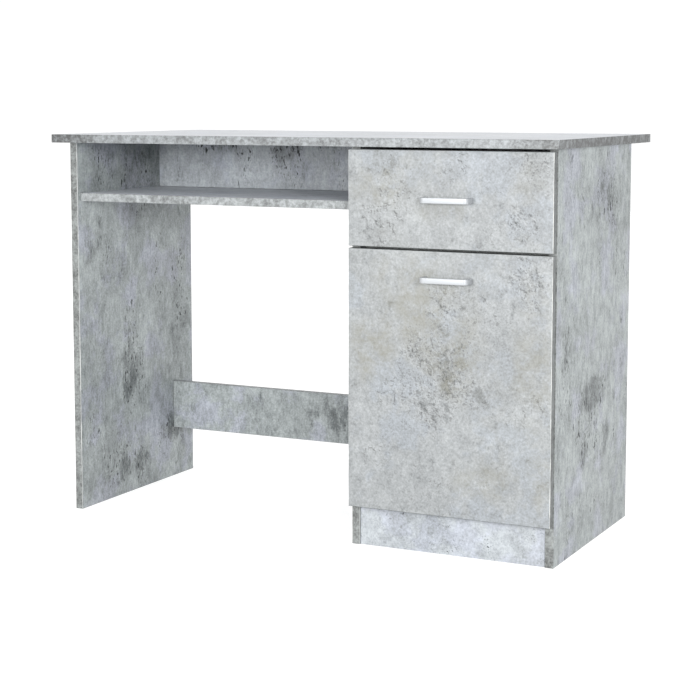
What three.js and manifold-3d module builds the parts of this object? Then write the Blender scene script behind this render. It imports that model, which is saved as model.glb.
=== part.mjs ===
// A flat-pack writing desk: a plain side panel on the left, a drawer-and-door pedestal on the
// right, an open shelf and a low rail between them, and a desktop over everything.
// Units are millimetres. +Z is up and the drawer and the door face -Y.
import * as THREE from "three";
import { mergeVertices } from "three/addons/utils/BufferGeometryUtils.js";
import Module from "manifold-3d";

const wasm = await Module();
wasm.setup();

// ---------------------------------------------------------------- driving sizes
const DESK_HEIGHT = 750;
const TOP_WIDTH = 1040;
const TOP_DEPTH = 540;
const BOARD = 16; // melamine-faced chipboard
const HARDBOARD = 3;
const JOINT_GAP = 0.3; // between pieces that touch

const TOP_SIDE_OVERHANG = 15;
const TOP_FRONT_OVERHANG = 40;
const TOP_REAR_OVERHANG = 76;
const PEDESTAL_WIDTH = 392;

const OPEN_SHELF_CLEAR_HEIGHT = 100;
const OPEN_SHELF_SETBACK = 10;
const UPPER_BACK_FROM_REAR = 110;
const RAIL_FROM_REAR = 64;
const RAIL_HEIGHT = 102;
const RAIL_ABOVE_FLOOR = 107;

const PLINTH_HEIGHT = 72;
const PLINTH_SETBACK = 3;
const DOOR_ABOVE_PLINTH = 3;
const DRAWER_FRONT_HEIGHT = 174;
const FRONT_TOP_GAP = 5; // under the desktop
const FRONT_SPLIT_GAP = 4; // between the drawer front and the door
const FRONT_REVEAL = 1; // at each side of the pedestal
const FRONT_STANDOFF = 2; // from the panels' front edges to the backs of the fronts

const INNER_SHELF_SETBACK = 30;
const INNER_SHELF_SIDE_GAP = 1;
const INNER_SHELF_RISE = 0.5; // share of the door compartment's height
const SHELF_PIN_RADIUS = 2.5;
const SHELF_PIN_DEPTH = 9; // inside the panel
const SHELF_PIN_REACH = 8; // out of the panel
const SHELF_PIN_INSET = 50; // from the shelf's front and rear edges
const PIN_HOLE_CLEARANCE = 0.2;

const DRAWER_BOARD = 12;
const DRAWER_SIDE_HEIGHT = 118;
const DIVIDER_SETBACK = 20; // behind the front edges of the uprights
const DRAWER_ABOVE_DIVIDER = 13;
const DRAWER_BOTTOM_RISE = 9; // groove height above the sides' lower edge
const GROOVE_DEPTH = 5;
const GROOVE_CLEARANCE = 0.3;

const RUNNER_SPACE = 12.5; // between a panel and a drawer side
const RUNNER_SETBACK = 2;
const RUNNER_REAR_CLEARANCE = 72;
const RUNNER_STEEL = 1.2;
const RUNNER_HEIGHT = 27;
const RUNNER_LIP = 8;
const RUNNER_FOOT = 10; // flange under the drawer side
const ROLLER_RADIUS = 9;
const ROLLER_WIDTH = 6.8;
const ROLLER_INSET = 12; // roller centre from its runner's end
const ROLLER_PIN_RADIUS = 2;
const RUNNING_CLEARANCE = 0.3;

const HANDLE_HOLE_SPACING = 86;
const HANDLE_LEG = 7;
const HANDLE_BAR = 3.5;
const HANDLE_HEIGHT = 10;
const HANDLE_REACH = 25;
const HANDLE_BEND = 8;
const DOOR_HANDLE_DROP = 50; // below the door's upper edge
const HANDLE_SCREW_RADIUS = 2;
const HANDLE_SCREW_GRIP = 9; // thread inside the handle's leg
const HANDLE_SCREW_HEAD_RADIUS = 4;
const HANDLE_SCREW_HEAD = 2.4;

const HINGE_FROM_DOOR_END = 80;
const CUP_RADIUS = 17.5;
const CUP_DEPTH = 11;
const CUP_WALL = 1;
const CUP_FROM_DOOR_EDGE = 22.5;
const CUP_FLANGE_HEIGHT = 58;
const CUP_FLANGE_WIDTH = 15;
const DOOR_PIVOT_FROM_EDGE = 4; // the hinge's virtual pivot, from the door's edge
const DOOR_PIVOT_FROM_BACK = 15; // and in front of the door's back face
const LINK_SEAT_FROM_PIVOT = 7; // where the link meets the cup, towards the free edge
const LINK_SEAT_INSIDE = 2.5; // and inside the door's back face
const LINK_PIVOT_REACH = 31.2;
const LINK_THICKNESS = 2;
const LINK_WIDTH = 5;
const LINK_EYE_RADIUS = 3;
const LINK_PIN_RADIUS = 1.2;
const ARM_WIDTH = 10;
const ARM_STEEL = 3.5;
const ARM_END = 60; // behind the panel's front edge
const ARM_CRANK_START = 14;
const PLATE_CENTRE = 37; // behind the panel's front edge
const PLATE_RISE = 7;
const PLATE_LENGTH = 40;
const PLATE_WING_HEIGHT = 50;
const PLATE_WING_WIDTH = 18;
const PLATE_WING_STEEL = 2;

const CAM_RADIUS = 7.5;
const CAM_SKIN = 3; // board left under the cam's pocket
const CAM_FROM_END = 34;
const CAM_INSET = 60; // of the open shelf's cams from its long edges
const CAM_SLOT_WIDTH = 2.4;
const CAM_SLOT_LENGTH = 9;
const CAM_SLOT_DEPTH = 3;
const BOLT_SHANK_RADIUS = 3;
const BOLT_NECK_RADIUS = 1.8;
const BOLT_HEAD_RADIUS = 3.2;
const BOLT_THREAD_RADIUS = 2.5;
const BOLT_THREAD_DEPTH = 10; // inside the side panel
const BOLT_CLEARANCE = 0.3;

// ---------------------------------------------------------------- places
// x = 0 is the desktop's centre line, y = 0 the panels' front edges and z = 0 the floor.
const undersideZ = DESK_HEIGHT - BOARD;
const panelTopZ = undersideZ - JOINT_GAP;
const panelDepth = TOP_DEPTH - TOP_FRONT_OVERHANG - TOP_REAR_OVERHANG;
const outerX = TOP_WIDTH / 2 - TOP_SIDE_OVERHANG;
const knee = { left: -outerX + BOARD, right: outerX - PEDESTAL_WIDTH };
const inside = { left: knee.right + BOARD, right: outerX - BOARD };
const pedestalX = (inside.left + inside.right) / 2;

const frontBackY = -FRONT_STANDOFF;
const frontFaceY = frontBackY - BOARD;
const frontHalfWidth = PEDESTAL_WIDTH / 2 - FRONT_REVEAL;
const drawerFrontTopZ = undersideZ - FRONT_TOP_GAP;
const drawerFrontBottomZ = drawerFrontTopZ - DRAWER_FRONT_HEIGHT;
const doorTopZ = drawerFrontBottomZ - FRONT_SPLIT_GAP;
const doorBottomZ = PLINTH_HEIGHT + DOOR_ABOVE_PLINTH;

const floorBoardZ = PLINTH_HEIGHT + JOINT_GAP;
const floorBoardTopZ = floorBoardZ + BOARD;
const dividerZ = (drawerFrontBottomZ + doorTopZ - BOARD) / 2;
const dividerTopZ = dividerZ + BOARD;
const innerShelfZ = floorBoardTopZ + (dividerZ - floorBoardTopZ) * INNER_SHELF_RISE;
const innerShelf = {
  front: INNER_SHELF_SETBACK,
  rear: panelDepth - 2 * JOINT_GAP,
};

const openShelfTopZ = undersideZ - OPEN_SHELF_CLEAR_HEIGHT;
const upperBackRearY = panelDepth - UPPER_BACK_FROM_REAR;
const railRearY = panelDepth - RAIL_FROM_REAR;

const drawerZ = dividerTopZ + DRAWER_ABOVE_DIVIDER;
const runnerZ = drawerZ - RUNNER_STEEL - JOINT_GAP;
const runnerLength = panelDepth - RUNNER_SETBACK - RUNNER_REAR_CLEARANCE;
const drawerFrontY = frontBackY + JOINT_GAP;
const drawerRearY = drawerFrontY + runnerLength;
const drawerHalfWidth = (inside.right - inside.left) / 2 - RUNNER_SPACE;
const grooveZ = drawerZ + DRAWER_BOTTOM_RISE;

const drawerHandleZ = (drawerFrontTopZ + drawerFrontBottomZ) / 2;
const doorHandleZ = doorTopZ - DOOR_HANDLE_DROP;
const hingeZs = {
  lower: doorBottomZ + HINGE_FROM_DOOR_END,
  upper: doorTopZ - HINGE_FROM_DOOR_END,
};
const doorEdgeX = outerX - FRONT_REVEAL;
const cupX = doorEdgeX - CUP_FROM_DOOR_EDGE;
const doorPivot = new THREE.Vector2(
  doorEdgeX - DOOR_PIVOT_FROM_EDGE,
  frontBackY - DOOR_PIVOT_FROM_BACK,
);

// The hinge's link meets the cup at the same distance from its own pivot when the door is shut
// and when it stands at a right angle, so its pivot lies on the bisector of those two places.
const linkSeat = new THREE.Vector2(
  doorPivot.x - LINK_SEAT_FROM_PIVOT,
  frontBackY - LINK_SEAT_INSIDE,
);
const linkPivot = findLinkPivot();

function findLinkPivot() {
  const shut = linkSeat.clone().sub(doorPivot);
  const open = shut.clone().rotateAround(new THREE.Vector2(), Math.PI / 2);
  const bisector = shut.add(open).normalize();
  return doorPivot.clone().addScaledVector(bisector, LINK_PIVOT_REACH);
}

// ---------------------------------------------------------------- looks
const concrete = material(0xb9bfc2, 0.55, 0);
const concreteWarm = material(0xc7cac8, 0.5, 0);
const drawerWood = material(0xb4b9bb, 0.6, 0);
const hardboard = material(0xa89a84, 0.8, 0);
const aluminium = material(0xe6e9eb, 0.3, 1);
const zinc = material(0xb7b9ba, 0.35, 1);
const nickel = material(0xc9c7c2, 0.25, 1);
const whiteSteel = material(0xe8e8e6, 0.4, 0.1);
const nylon = material(0xf2f2ef, 0.45, 0);

function material(color, roughness, metalness) {
  return new THREE.MeshStandardMaterial({ color, roughness, metalness });
}

// ---------------------------------------------------------------- shapes
function block(x, y, z) {
  const geometry = new THREE.BoxGeometry(x[1] - x[0], y[1] - y[0], z[1] - z[0]);
  return geometry.translate((x[0] + x[1]) / 2, (y[0] + y[1]) / 2, (z[0] + z[1]) / 2);
}

// A cylinder from one point to another along X, Y or Z.
function rod(from, to, radius, segments = 24) {
  const a = new THREE.Vector3(...from);
  const b = new THREE.Vector3(...to);
  const along = b.clone().sub(a);
  const geometry = new THREE.CylinderGeometry(radius, radius, along.length(), segments);
  const turn = new THREE.Quaternion();
  turn.setFromUnitVectors(new THREE.Vector3(0, 1, 0), along.normalize());
  geometry.applyQuaternion(turn);
  return geometry.translate(...a.add(b).multiplyScalar(0.5).toArray());
}

// An outline in the XY plane, raised from z[0] to z[1].
function slab(shape, z) {
  const options = { depth: z[1] - z[0], bevelEnabled: false, curveSegments: 8 };
  return new THREE.ExtrudeGeometry(shape, options).translate(0, 0, z[0]);
}

function solidOf(geometry) {
  const bare = geometry.clone();
  bare.deleteAttribute("normal");
  bare.deleteAttribute("uv");
  const merged = mergeVertices(bare, 1e-4);
  const mesh = new wasm.Mesh({
    numProp: 3,
    vertProperties: new Float32Array(merged.attributes.position.array),
    triVerts: new Uint32Array(merged.index.array),
  });
  return new wasm.Manifold(mesh);
}

function geometryOf(solid) {
  const mesh = solid.getMesh();
  const geometry = new THREE.BufferGeometry();
  const position = new THREE.BufferAttribute(new Float32Array(mesh.vertProperties), 3);
  geometry.setAttribute("position", position);
  geometry.setIndex(new THREE.BufferAttribute(new Uint32Array(mesh.triVerts), 1));
  geometry.computeVertexNormals();
  return geometry;
}

function cut(geometry, ...tools) {
  let solid = solidOf(geometry);
  for (const tool of tools) {
    solid = solid.subtract(solidOf(tool));
  }
  return geometryOf(solid);
}

function join(...geometries) {
  let solid = solidOf(geometries[0]);
  for (const geometry of geometries.slice(1)) {
    solid = solid.add(solidOf(geometry));
  }
  return geometryOf(solid);
}

const desk = new THREE.Group();

function place(name, geometry, look) {
  const mesh = new THREE.Mesh(geometry, look);
  mesh.name = name;
  desk.add(mesh);
}

// ---------------------------------------------------------------- cam joints
// Each joint holds a cross board's end against an upright: a bolt screwed into the upright
// reaches into the board, where a round cam set in the board's face pulls on its head.
// side is +1 where the upright is to the right of the board and -1 where it is to the left.
const camJoints = [];

function addCamJoint(name, side, uprightX, axis, faceAxis, faceAt, faceSign) {
  camJoints.push({ name, side, uprightX, axis, faceAxis, faceAt, faceSign });
}

for (const [word, side, uprightX] of [["left", -1, knee.left], ["right", 1, knee.right]]) {
  const shelfFaceZ = openShelfTopZ - BOARD;
  const shelfMidZ = openShelfTopZ - BOARD / 2;
  const shelfYs = { front: OPEN_SHELF_SETBACK + CAM_INSET, rear: upperBackRearY - CAM_INSET };
  for (const [end, y] of Object.entries(shelfYs)) {
    addCamJoint(`open_shelf_${end}_${word}`, side, uprightX, [y, shelfMidZ], "z", shelfFaceZ, -1);
  }
  const backMidZ = (openShelfTopZ + undersideZ) / 2;
  const backAxis = [upperBackRearY - BOARD / 2, backMidZ];
  addCamJoint(`upper_back_${word}`, side, uprightX, backAxis, "y", upperBackRearY, 1);
  const railAxis = [railRearY - BOARD / 2, RAIL_ABOVE_FLOOR + RAIL_HEIGHT / 2];
  addCamJoint(`lower_rail_${word}`, side, uprightX, railAxis, "y", railRearY, 1);
}

function camX(joint) {
  return joint.uprightX - joint.side * CAM_FROM_END;
}

// A cylinder square to the board's face, from that face to a depth inside it.
function faceRod(joint, radius, depth, outside = 0) {
  const [y, z] = joint.axis;
  const near = joint.faceAt + joint.faceSign * outside;
  const far = joint.faceAt - joint.faceSign * depth;
  if (joint.faceAxis === "z") {
    return rod([camX(joint), y, near], [camX(joint), y, far], radius);
  }
  return rod([camX(joint), near, z], [camX(joint), far, z], radius);
}

function boardCutsFor(prefix) {
  const chosen = camJoints.filter((joint) => joint.name.startsWith(prefix));
  return chosen.flatMap((joint) => {
    const [y, z] = joint.axis;
    const pocketDepth = BOARD - CAM_SKIN + JOINT_GAP;
    const boreRadius = BOLT_SHANK_RADIUS + BOLT_CLEARANCE + 0.5;
    return [
      faceRod(joint, CAM_RADIUS + JOINT_GAP, pocketDepth, 1),
      rod([joint.uprightX + joint.side, y, z], [camX(joint), y, z], boreRadius),
    ];
  });
}

function uprightCuts(side) {
  const chosen = camJoints.filter((joint) => joint.side === side);
  return chosen.map((joint) => {
    const [y, z] = joint.axis;
    const depth = BOLT_THREAD_DEPTH + BOLT_CLEARANCE;
    const from = joint.uprightX - side;
    const to = joint.uprightX + side * depth;
    return rod([from, y, z], [to, y, z], BOLT_THREAD_RADIUS + BOLT_CLEARANCE);
  });
}

function cam(joint) {
  const [y, z] = joint.axis;
  const depth = BOARD - CAM_SKIN;
  const body = faceRod(joint, CAM_RADIUS, depth);
  const mouth = [joint.uprightX, y, z];
  const past = [camX(joint) - joint.side * BOLT_HEAD_RADIUS * 1.3, y, z];
  const bore = rod(mouth, past, BOLT_HEAD_RADIUS + BOLT_CLEARANCE);
  return cut(body, bore, ...crossSlot(joint));
}

function crossSlot(joint) {
  const [y, z] = joint.axis;
  const half = CAM_SLOT_LENGTH / 2;
  const thin = CAM_SLOT_WIDTH / 2;
  const x = camX(joint);
  const through = [
    joint.faceAt - CAM_SLOT_DEPTH * Math.max(joint.faceSign, 0) - Math.max(-joint.faceSign, 0),
    joint.faceAt + CAM_SLOT_DEPTH * Math.max(-joint.faceSign, 0) + Math.max(joint.faceSign, 0),
  ];
  if (joint.faceAxis === "z") {
    return [
      block([x - half, x + half], [y - thin, y + thin], through),
      block([x - thin, x + thin], [y - half, y + half], through),
    ];
  }
  return [
    block([x - half, x + half], through, [z - thin, z + thin]),
    block([x - thin, x + thin], through, [z - half, z + half]),
  ];
}

function camBolt(joint) {
  const [y, z] = joint.axis;
  const at = (reach) => [joint.uprightX - joint.side * reach, y, z];
  const neckStart = CAM_FROM_END - CAM_RADIUS + 1;
  const headStart = CAM_FROM_END - BOLT_HEAD_RADIUS;
  return join(
    rod(at(-BOLT_THREAD_DEPTH), at(2), BOLT_THREAD_RADIUS),
    rod(at(JOINT_GAP), at(neckStart), BOLT_SHANK_RADIUS),
    rod(at(neckStart - 1), at(headStart + 1), BOLT_NECK_RADIUS),
    rod(at(headStart), at(CAM_FROM_END), BOLT_HEAD_RADIUS),
  );
}

// ---------------------------------------------------------------- boards
function addUprights() {
  const depth = [0, panelDepth];
  const height = [0, panelTopZ];
  const left = block([-outerX, knee.left], depth, height);
  place("left_side_panel", cut(left, ...uprightCuts(-1)), concrete);
  const pedestalLeft = block([knee.right, inside.left], depth, height);
  const leftCuts = [...uprightCuts(1), ...shelfPinHoles(-1)];
  place("pedestal_left_panel", cut(pedestalLeft, ...leftCuts), concrete);
  const pedestalRight = block([inside.right, outerX], depth, height);
  place("pedestal_right_panel", cut(pedestalRight, ...shelfPinHoles(1)), concrete);
}

function addTop() {
  const x = [-TOP_WIDTH / 2, TOP_WIDTH / 2];
  const y = [-TOP_FRONT_OVERHANG, panelDepth + TOP_REAR_OVERHANG];
  place("desktop", block(x, y, [undersideZ, DESK_HEIGHT]), concrete);
}

function addKneeholeBoards() {
  const x = [knee.left + JOINT_GAP, knee.right - JOINT_GAP];
  const shelfZ = [openShelfTopZ - BOARD, openShelfTopZ];
  const shelf = block(x, [OPEN_SHELF_SETBACK, upperBackRearY], shelfZ);
  place("open_shelf", cut(shelf, ...boardCutsFor("open_shelf")), concrete);
  const backZ = [openShelfTopZ + JOINT_GAP, panelTopZ];
  const back = block(x, [upperBackRearY - BOARD, upperBackRearY], backZ);
  place("upper_back_panel", cut(back, ...boardCutsFor("upper_back")), concrete);
  const railZ = [RAIL_ABOVE_FLOOR, RAIL_ABOVE_FLOOR + RAIL_HEIGHT];
  const rail = block(x, [railRearY - BOARD, railRearY], railZ);
  place("lower_rail", cut(rail, ...boardCutsFor("lower_rail")), concrete);
}

function addPedestalBoards() {
  const x = [inside.left + JOINT_GAP, inside.right - JOINT_GAP];
  const plinthY = [PLINTH_SETBACK, PLINTH_SETBACK + BOARD];
  place("plinth_board", block(x, plinthY, [0, PLINTH_HEIGHT]), concrete);
  place("bottom_board", block(x, [0, panelDepth], [floorBoardZ, floorBoardTopZ]), concrete);
  const dividerY = [DIVIDER_SETBACK, panelDepth];
  place("divider_board", block(x, dividerY, [dividerZ, dividerTopZ]), concrete);
  const shelfX = [inside.left + INNER_SHELF_SIDE_GAP, inside.right - INNER_SHELF_SIDE_GAP];
  const shelfZ = [innerShelfZ, innerShelfZ + BOARD];
  place("inner_shelf", block(shelfX, [innerShelf.front, innerShelf.rear], shelfZ), concrete);
  const backX = [knee.right + FRONT_REVEAL, outerX - FRONT_REVEAL];
  const backY = [panelDepth + JOINT_GAP, panelDepth + JOINT_GAP + HARDBOARD];
  place("pedestal_back_panel", block(backX, backY, [PLINTH_HEIGHT, panelTopZ - 1]), hardboard);
}

// ---------------------------------------------------------------- shelf pins
function shelfPinPlaces(side) {
  const x = side < 0 ? inside.left : inside.right;
  const z = innerShelfZ - JOINT_GAP - SHELF_PIN_RADIUS;
  const ys = {
    front: innerShelf.front + SHELF_PIN_INSET,
    rear: innerShelf.rear - SHELF_PIN_INSET,
  };
  return Object.entries(ys).map(([end, y]) => ({ end, x, y, z }));
}

function shelfPinHoles(side) {
  return shelfPinPlaces(side).map(({ x, y, z }) => {
    const bottom = x + side * (SHELF_PIN_DEPTH + JOINT_GAP);
    return rod([x - side, y, z], [bottom, y, z], SHELF_PIN_RADIUS + PIN_HOLE_CLEARANCE);
  });
}

function addShelfPins() {
  for (const [word, side] of [["left", -1], ["right", 1]]) {
    for (const { end, x, y, z } of shelfPinPlaces(side)) {
      const inner = [x + side * SHELF_PIN_DEPTH, y, z];
      const outer = [x - side * SHELF_PIN_REACH, y, z];
      place(`shelf_pin_${end}_${word}`, rod(inner, outer, SHELF_PIN_RADIUS), nickel);
    }
  }
}

// ---------------------------------------------------------------- drawer
function drawerGroove(x, y) {
  return block(x, y, [grooveZ - GROOVE_CLEARANCE, grooveZ + HARDBOARD + GROOVE_CLEARANCE]);
}

function addDrawerBox() {
  const z = [drawerZ, drawerZ + DRAWER_SIDE_HEIGHT];
  for (const [word, side] of [["left", -1], ["right", 1]]) {
    const outer = pedestalX + side * drawerHalfWidth;
    const inner = outer - side * DRAWER_BOARD;
    const x = [Math.min(outer, inner), Math.max(outer, inner)];
    const grooveX = [Math.min(inner - side, inner + side * GROOVE_DEPTH)];
    grooveX.push(grooveX[0] + GROOVE_DEPTH + 1);
    const board = block(x, [drawerFrontY, drawerRearY], z);
    const groove = drawerGroove(grooveX, [drawerFrontY - 1, drawerRearY + 1]);
    place(`drawer_${word}_side`, cut(board, groove), drawerWood);
  }
  const innerHalf = drawerHalfWidth - DRAWER_BOARD;
  const acrossX = [pedestalX - innerHalf + JOINT_GAP, pedestalX + innerHalf - JOINT_GAP];
  const backY = [drawerRearY - DRAWER_BOARD, drawerRearY];
  const backZ = [grooveZ + HARDBOARD + JOINT_GAP, z[1]];
  place("drawer_back", block(acrossX, backY, backZ), drawerWood);
  const tongue = GROOVE_DEPTH - GROOVE_CLEARANCE;
  const bottomX = [pedestalX - innerHalf - tongue, pedestalX + innerHalf + tongue];
  const bottomY = [frontBackY - tongue, drawerRearY];
  const bottom = block(bottomX, bottomY, [grooveZ, grooveZ + HARDBOARD]);
  place("drawer_bottom", bottom, hardboard);
}

function addDrawerFront() {
  const x = [pedestalX - frontHalfWidth, pedestalX + frontHalfWidth];
  const board = block(x, [frontFaceY, frontBackY], [drawerFrontBottomZ, drawerFrontTopZ]);
  const innerHalf = drawerHalfWidth - DRAWER_BOARD + GROOVE_DEPTH;
  const grooveX = [pedestalX - innerHalf, pedestalX + innerHalf];
  const groove = drawerGroove(grooveX, [frontBackY - GROOVE_DEPTH, frontBackY + 1]);
  place("drawer_front", cut(board, groove, ...handleHoles(drawerHandleZ)), concreteWarm);
}

// ---------------------------------------------------------------- runners
// u is the distance from a pedestal panel's inner face towards the drawer.
function acrossRunner(side, u) {
  const face = side < 0 ? inside.left : inside.right;
  const ends = [face - side * u[0], face - side * u[1]];
  return [Math.min(...ends), Math.max(...ends)];
}

function runnerRod(side, u, y, z, radius) {
  const [x0, x1] = acrossRunner(side, u);
  return rod([x0, y, z], [x1, y, z], radius);
}

const cabinetWeb = [JOINT_GAP, JOINT_GAP + RUNNER_STEEL];
const drawerWeb = [RUNNER_SPACE - JOINT_GAP - RUNNER_STEEL, RUNNER_SPACE - JOINT_GAP];
const runnerStartY = RUNNER_SETBACK;
const frontRollerY = runnerStartY + ROLLER_INSET;
const rearRollerY = drawerRearY - ROLLER_INSET;
const runnerTopZ = runnerZ + RUNNER_HEIGHT;
const frontRollerZ = runnerTopZ - ROLLER_RADIUS;
const rearRollerZ = runnerZ + RUNNER_STEEL + RUNNING_CLEARANCE + ROLLER_RADIUS;
const frontRollerU = cabinetWeb[1] + RUNNING_CLEARANCE;
const frontRollerSpan = [frontRollerU, frontRollerU + ROLLER_WIDTH];
const rearRollerU = drawerWeb[0] - RUNNING_CLEARANCE;
const rearRollerSpan = [rearRollerU - ROLLER_WIDTH, rearRollerU];

function cabinetRunner(side) {
  const railY = [frontRollerY + ROLLER_RADIUS + 3, runnerStartY + runnerLength];
  const lipU = [cabinetWeb[0], cabinetWeb[1] + RUNNER_LIP];
  const lipX = acrossRunner(side, lipU);
  const webX = acrossRunner(side, cabinetWeb);
  const web = block(webX, [runnerStartY, runnerStartY + runnerLength], [runnerZ, runnerTopZ]);
  const floor = block(lipX, railY, [runnerZ, runnerZ + RUNNER_STEEL]);
  const lip = block(lipX, railY, [runnerTopZ - RUNNER_STEEL, runnerTopZ]);
  const pinU = [cabinetWeb[0], frontRollerSpan[1] + 0.6];
  return join(web, floor, lip, runnerRod(side, pinU, frontRollerY, frontRollerZ, ROLLER_PIN_RADIUS));
}

function drawerRunner(side) {
  const y = [drawerFrontY, drawerRearY];
  const capZ = [runnerTopZ + RUNNING_CLEARANCE, runnerTopZ + RUNNING_CLEARANCE + RUNNER_STEEL];
  const capU = [cabinetWeb[1] + 1.5, drawerWeb[1]];
  const web = block(acrossRunner(side, drawerWeb), y, [runnerZ, capZ[1]]);
  const cap = block(acrossRunner(side, capU), y, capZ);
  const footU = [drawerWeb[0], RUNNER_SPACE + RUNNER_FOOT];
  const foot = block(acrossRunner(side, footU), y, [runnerZ, runnerZ + RUNNER_STEEL]);
  const pinU = [rearRollerSpan[0] - 0.6, drawerWeb[1]];
  return join(web, cap, foot, runnerRod(side, pinU, rearRollerY, rearRollerZ, ROLLER_PIN_RADIUS));
}

function roller(side, span, y, z) {
  const wheel = runnerRod(side, span, y, z, ROLLER_RADIUS);
  const boreSpan = [span[0] - 1, span[1] + 1];
  return cut(wheel, runnerRod(side, boreSpan, y, z, ROLLER_PIN_RADIUS + RUNNING_CLEARANCE));
}

function addRunners() {
  for (const [word, side] of [["left", -1], ["right", 1]]) {
    place(`cabinet_runner_${word}`, cabinetRunner(side), whiteSteel);
    place(`drawer_runner_${word}`, drawerRunner(side), whiteSteel);
    place(`front_roller_${word}`, roller(side, frontRollerSpan, frontRollerY, frontRollerZ), nylon);
    place(`rear_roller_${word}`, roller(side, rearRollerSpan, rearRollerY, rearRollerZ), nylon);
  }
}

// ---------------------------------------------------------------- door and handles
function addDoor() {
  const x = [pedestalX - frontHalfWidth, pedestalX + frontHalfWidth];
  const board = block(x, [frontFaceY, frontBackY], [doorBottomZ, doorTopZ]);
  const bottomY = frontBackY - CUP_DEPTH - 2 * JOINT_GAP;
  const cupHoles = Object.values(hingeZs).map((z) => {
    return rod([cupX, frontBackY + 1, z], [cupX, bottomY, z], CUP_RADIUS + JOINT_GAP, 48);
  });
  place("door", cut(board, ...cupHoles, ...handleHoles(doorHandleZ)), concreteWarm);
}

function handleScrewXs() {
  const half = HANDLE_HOLE_SPACING / 2;
  return { left: pedestalX - half, right: pedestalX + half };
}

function handleHoles(z) {
  const radius = HANDLE_SCREW_RADIUS + JOINT_GAP;
  return Object.values(handleScrewXs()).map((x) => {
    return rod([x, frontFaceY - 1, z], [x, frontBackY + 1, z], radius);
  });
}

// The bow seen from above, its legs' ends on y = 0 and its bar towards -y.
function bowOutline() {
  const half = (HANDLE_HOLE_SPACING + HANDLE_LEG) / 2;
  const innerHalf = half - HANDLE_LEG;
  const innerReach = HANDLE_REACH - HANDLE_BAR;
  const innerBend = HANDLE_BEND / 2;
  const bow = new THREE.Shape();
  bow.moveTo(-half, 0);
  bow.lineTo(-half, -HANDLE_REACH + HANDLE_BEND);
  bow.quadraticCurveTo(-half, -HANDLE_REACH, -half + HANDLE_BEND, -HANDLE_REACH);
  bow.lineTo(half - HANDLE_BEND, -HANDLE_REACH);
  bow.quadraticCurveTo(half, -HANDLE_REACH, half, -HANDLE_REACH + HANDLE_BEND);
  bow.lineTo(half, 0);
  bow.lineTo(innerHalf, 0);
  bow.lineTo(innerHalf, -innerReach + innerBend);
  bow.quadraticCurveTo(innerHalf, -innerReach, innerHalf - innerBend, -innerReach);
  bow.lineTo(-innerHalf + innerBend, -innerReach);
  bow.quadraticCurveTo(-innerHalf, -innerReach, -innerHalf, -innerReach + innerBend);
  bow.lineTo(-innerHalf, 0);
  return bow;
}

function addHandle(name, z) {
  const height = [z - HANDLE_HEIGHT / 2, z + HANDLE_HEIGHT / 2];
  const footY = frontFaceY - JOINT_GAP;
  const bow = slab(bowOutline(), height).translate(pedestalX, footY, 0);
  const gripY = footY - HANDLE_SCREW_GRIP;
  const threads = Object.values(handleScrewXs()).map((x) => {
    const to = [x, gripY - JOINT_GAP, z];
    return rod([x, footY + 1, z], to, HANDLE_SCREW_RADIUS + JOINT_GAP / 2);
  });
  place(name, cut(bow, ...threads), aluminium);
  for (const [word, x] of Object.entries(handleScrewXs())) {
    const seatY = frontBackY + JOINT_GAP;
    const shank = rod([x, gripY, z], [x, seatY + 1, z], HANDLE_SCREW_RADIUS);
    const headEnd = [x, seatY + HANDLE_SCREW_HEAD, z];
    const head = rod([x, seatY, z], headEnd, HANDLE_SCREW_HEAD_RADIUS);
    place(`${name}_screw_${word}`, join(shank, head), zinc);
  }
}

// ---------------------------------------------------------------- hinges
function hingeCup(z) {
  const flangeY = [frontBackY + JOINT_GAP, frontBackY + JOINT_GAP + RUNNER_STEEL];
  const bottomY = frontBackY - CUP_DEPTH;
  const floorY = bottomY + CUP_WALL;
  const body = rod([cupX, bottomY, z], [cupX, flangeY[1], z], CUP_RADIUS, 48);
  const flangeX = [cupX - CUP_FLANGE_WIDTH / 2, cupX + CUP_FLANGE_WIDTH / 2];
  const flangeZ = [z - CUP_FLANGE_HEIGHT / 2, z + CUP_FLANGE_HEIGHT / 2];
  const hollow = rod([cupX, floorY, z], [cupX, flangeY[1] + 1, z], CUP_RADIUS - CUP_WALL, 48);
  return cut(join(body, block(flangeX, flangeY, flangeZ)), hollow);
}

// The arm seen from above: a flat bar on the plate, cranked at its front into the cup.
function armOutline() {
  const top = inside.right - PLATE_RISE - 2 * JOINT_GAP;
  const underside = top - ARM_STEEL;
  const arm = new THREE.Shape();
  arm.moveTo(top, ARM_END);
  arm.lineTo(underside, ARM_END);
  arm.lineTo(underside, ARM_CRANK_START);
  arm.lineTo(linkPivot.x - LINK_EYE_RADIUS, linkPivot.y + LINK_EYE_RADIUS);
  arm.absarc(linkPivot.x, linkPivot.y, LINK_EYE_RADIUS, Math.PI, 1.85 * Math.PI, false);
  arm.lineTo(top, ARM_CRANK_START - ARM_STEEL);
  return arm;
}

function hingeArm(z) {
  const half = ARM_WIDTH / 2;
  const slotHalf = LINK_WIDTH / 2 + JOINT_GAP;
  const bar = slab(armOutline(), [z - half, z + half]);
  const slotX = [linkPivot.x - 2 * LINK_EYE_RADIUS, inside.right];
  const slotY = [linkPivot.y - 2 * LINK_EYE_RADIUS, linkPivot.y + 2 * LINK_EYE_RADIUS];
  const slot = block(slotX, slotY, [z - slotHalf, z + slotHalf]);
  const pinEnds = [z - half + 1, z + half - 1].map((end) => [linkPivot.x, linkPivot.y, end]);
  const forked = cut(bar, slot);
  return join(forked, rod(pinEnds[0], pinEnds[1], LINK_PIN_RADIUS, 16));
}

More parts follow.
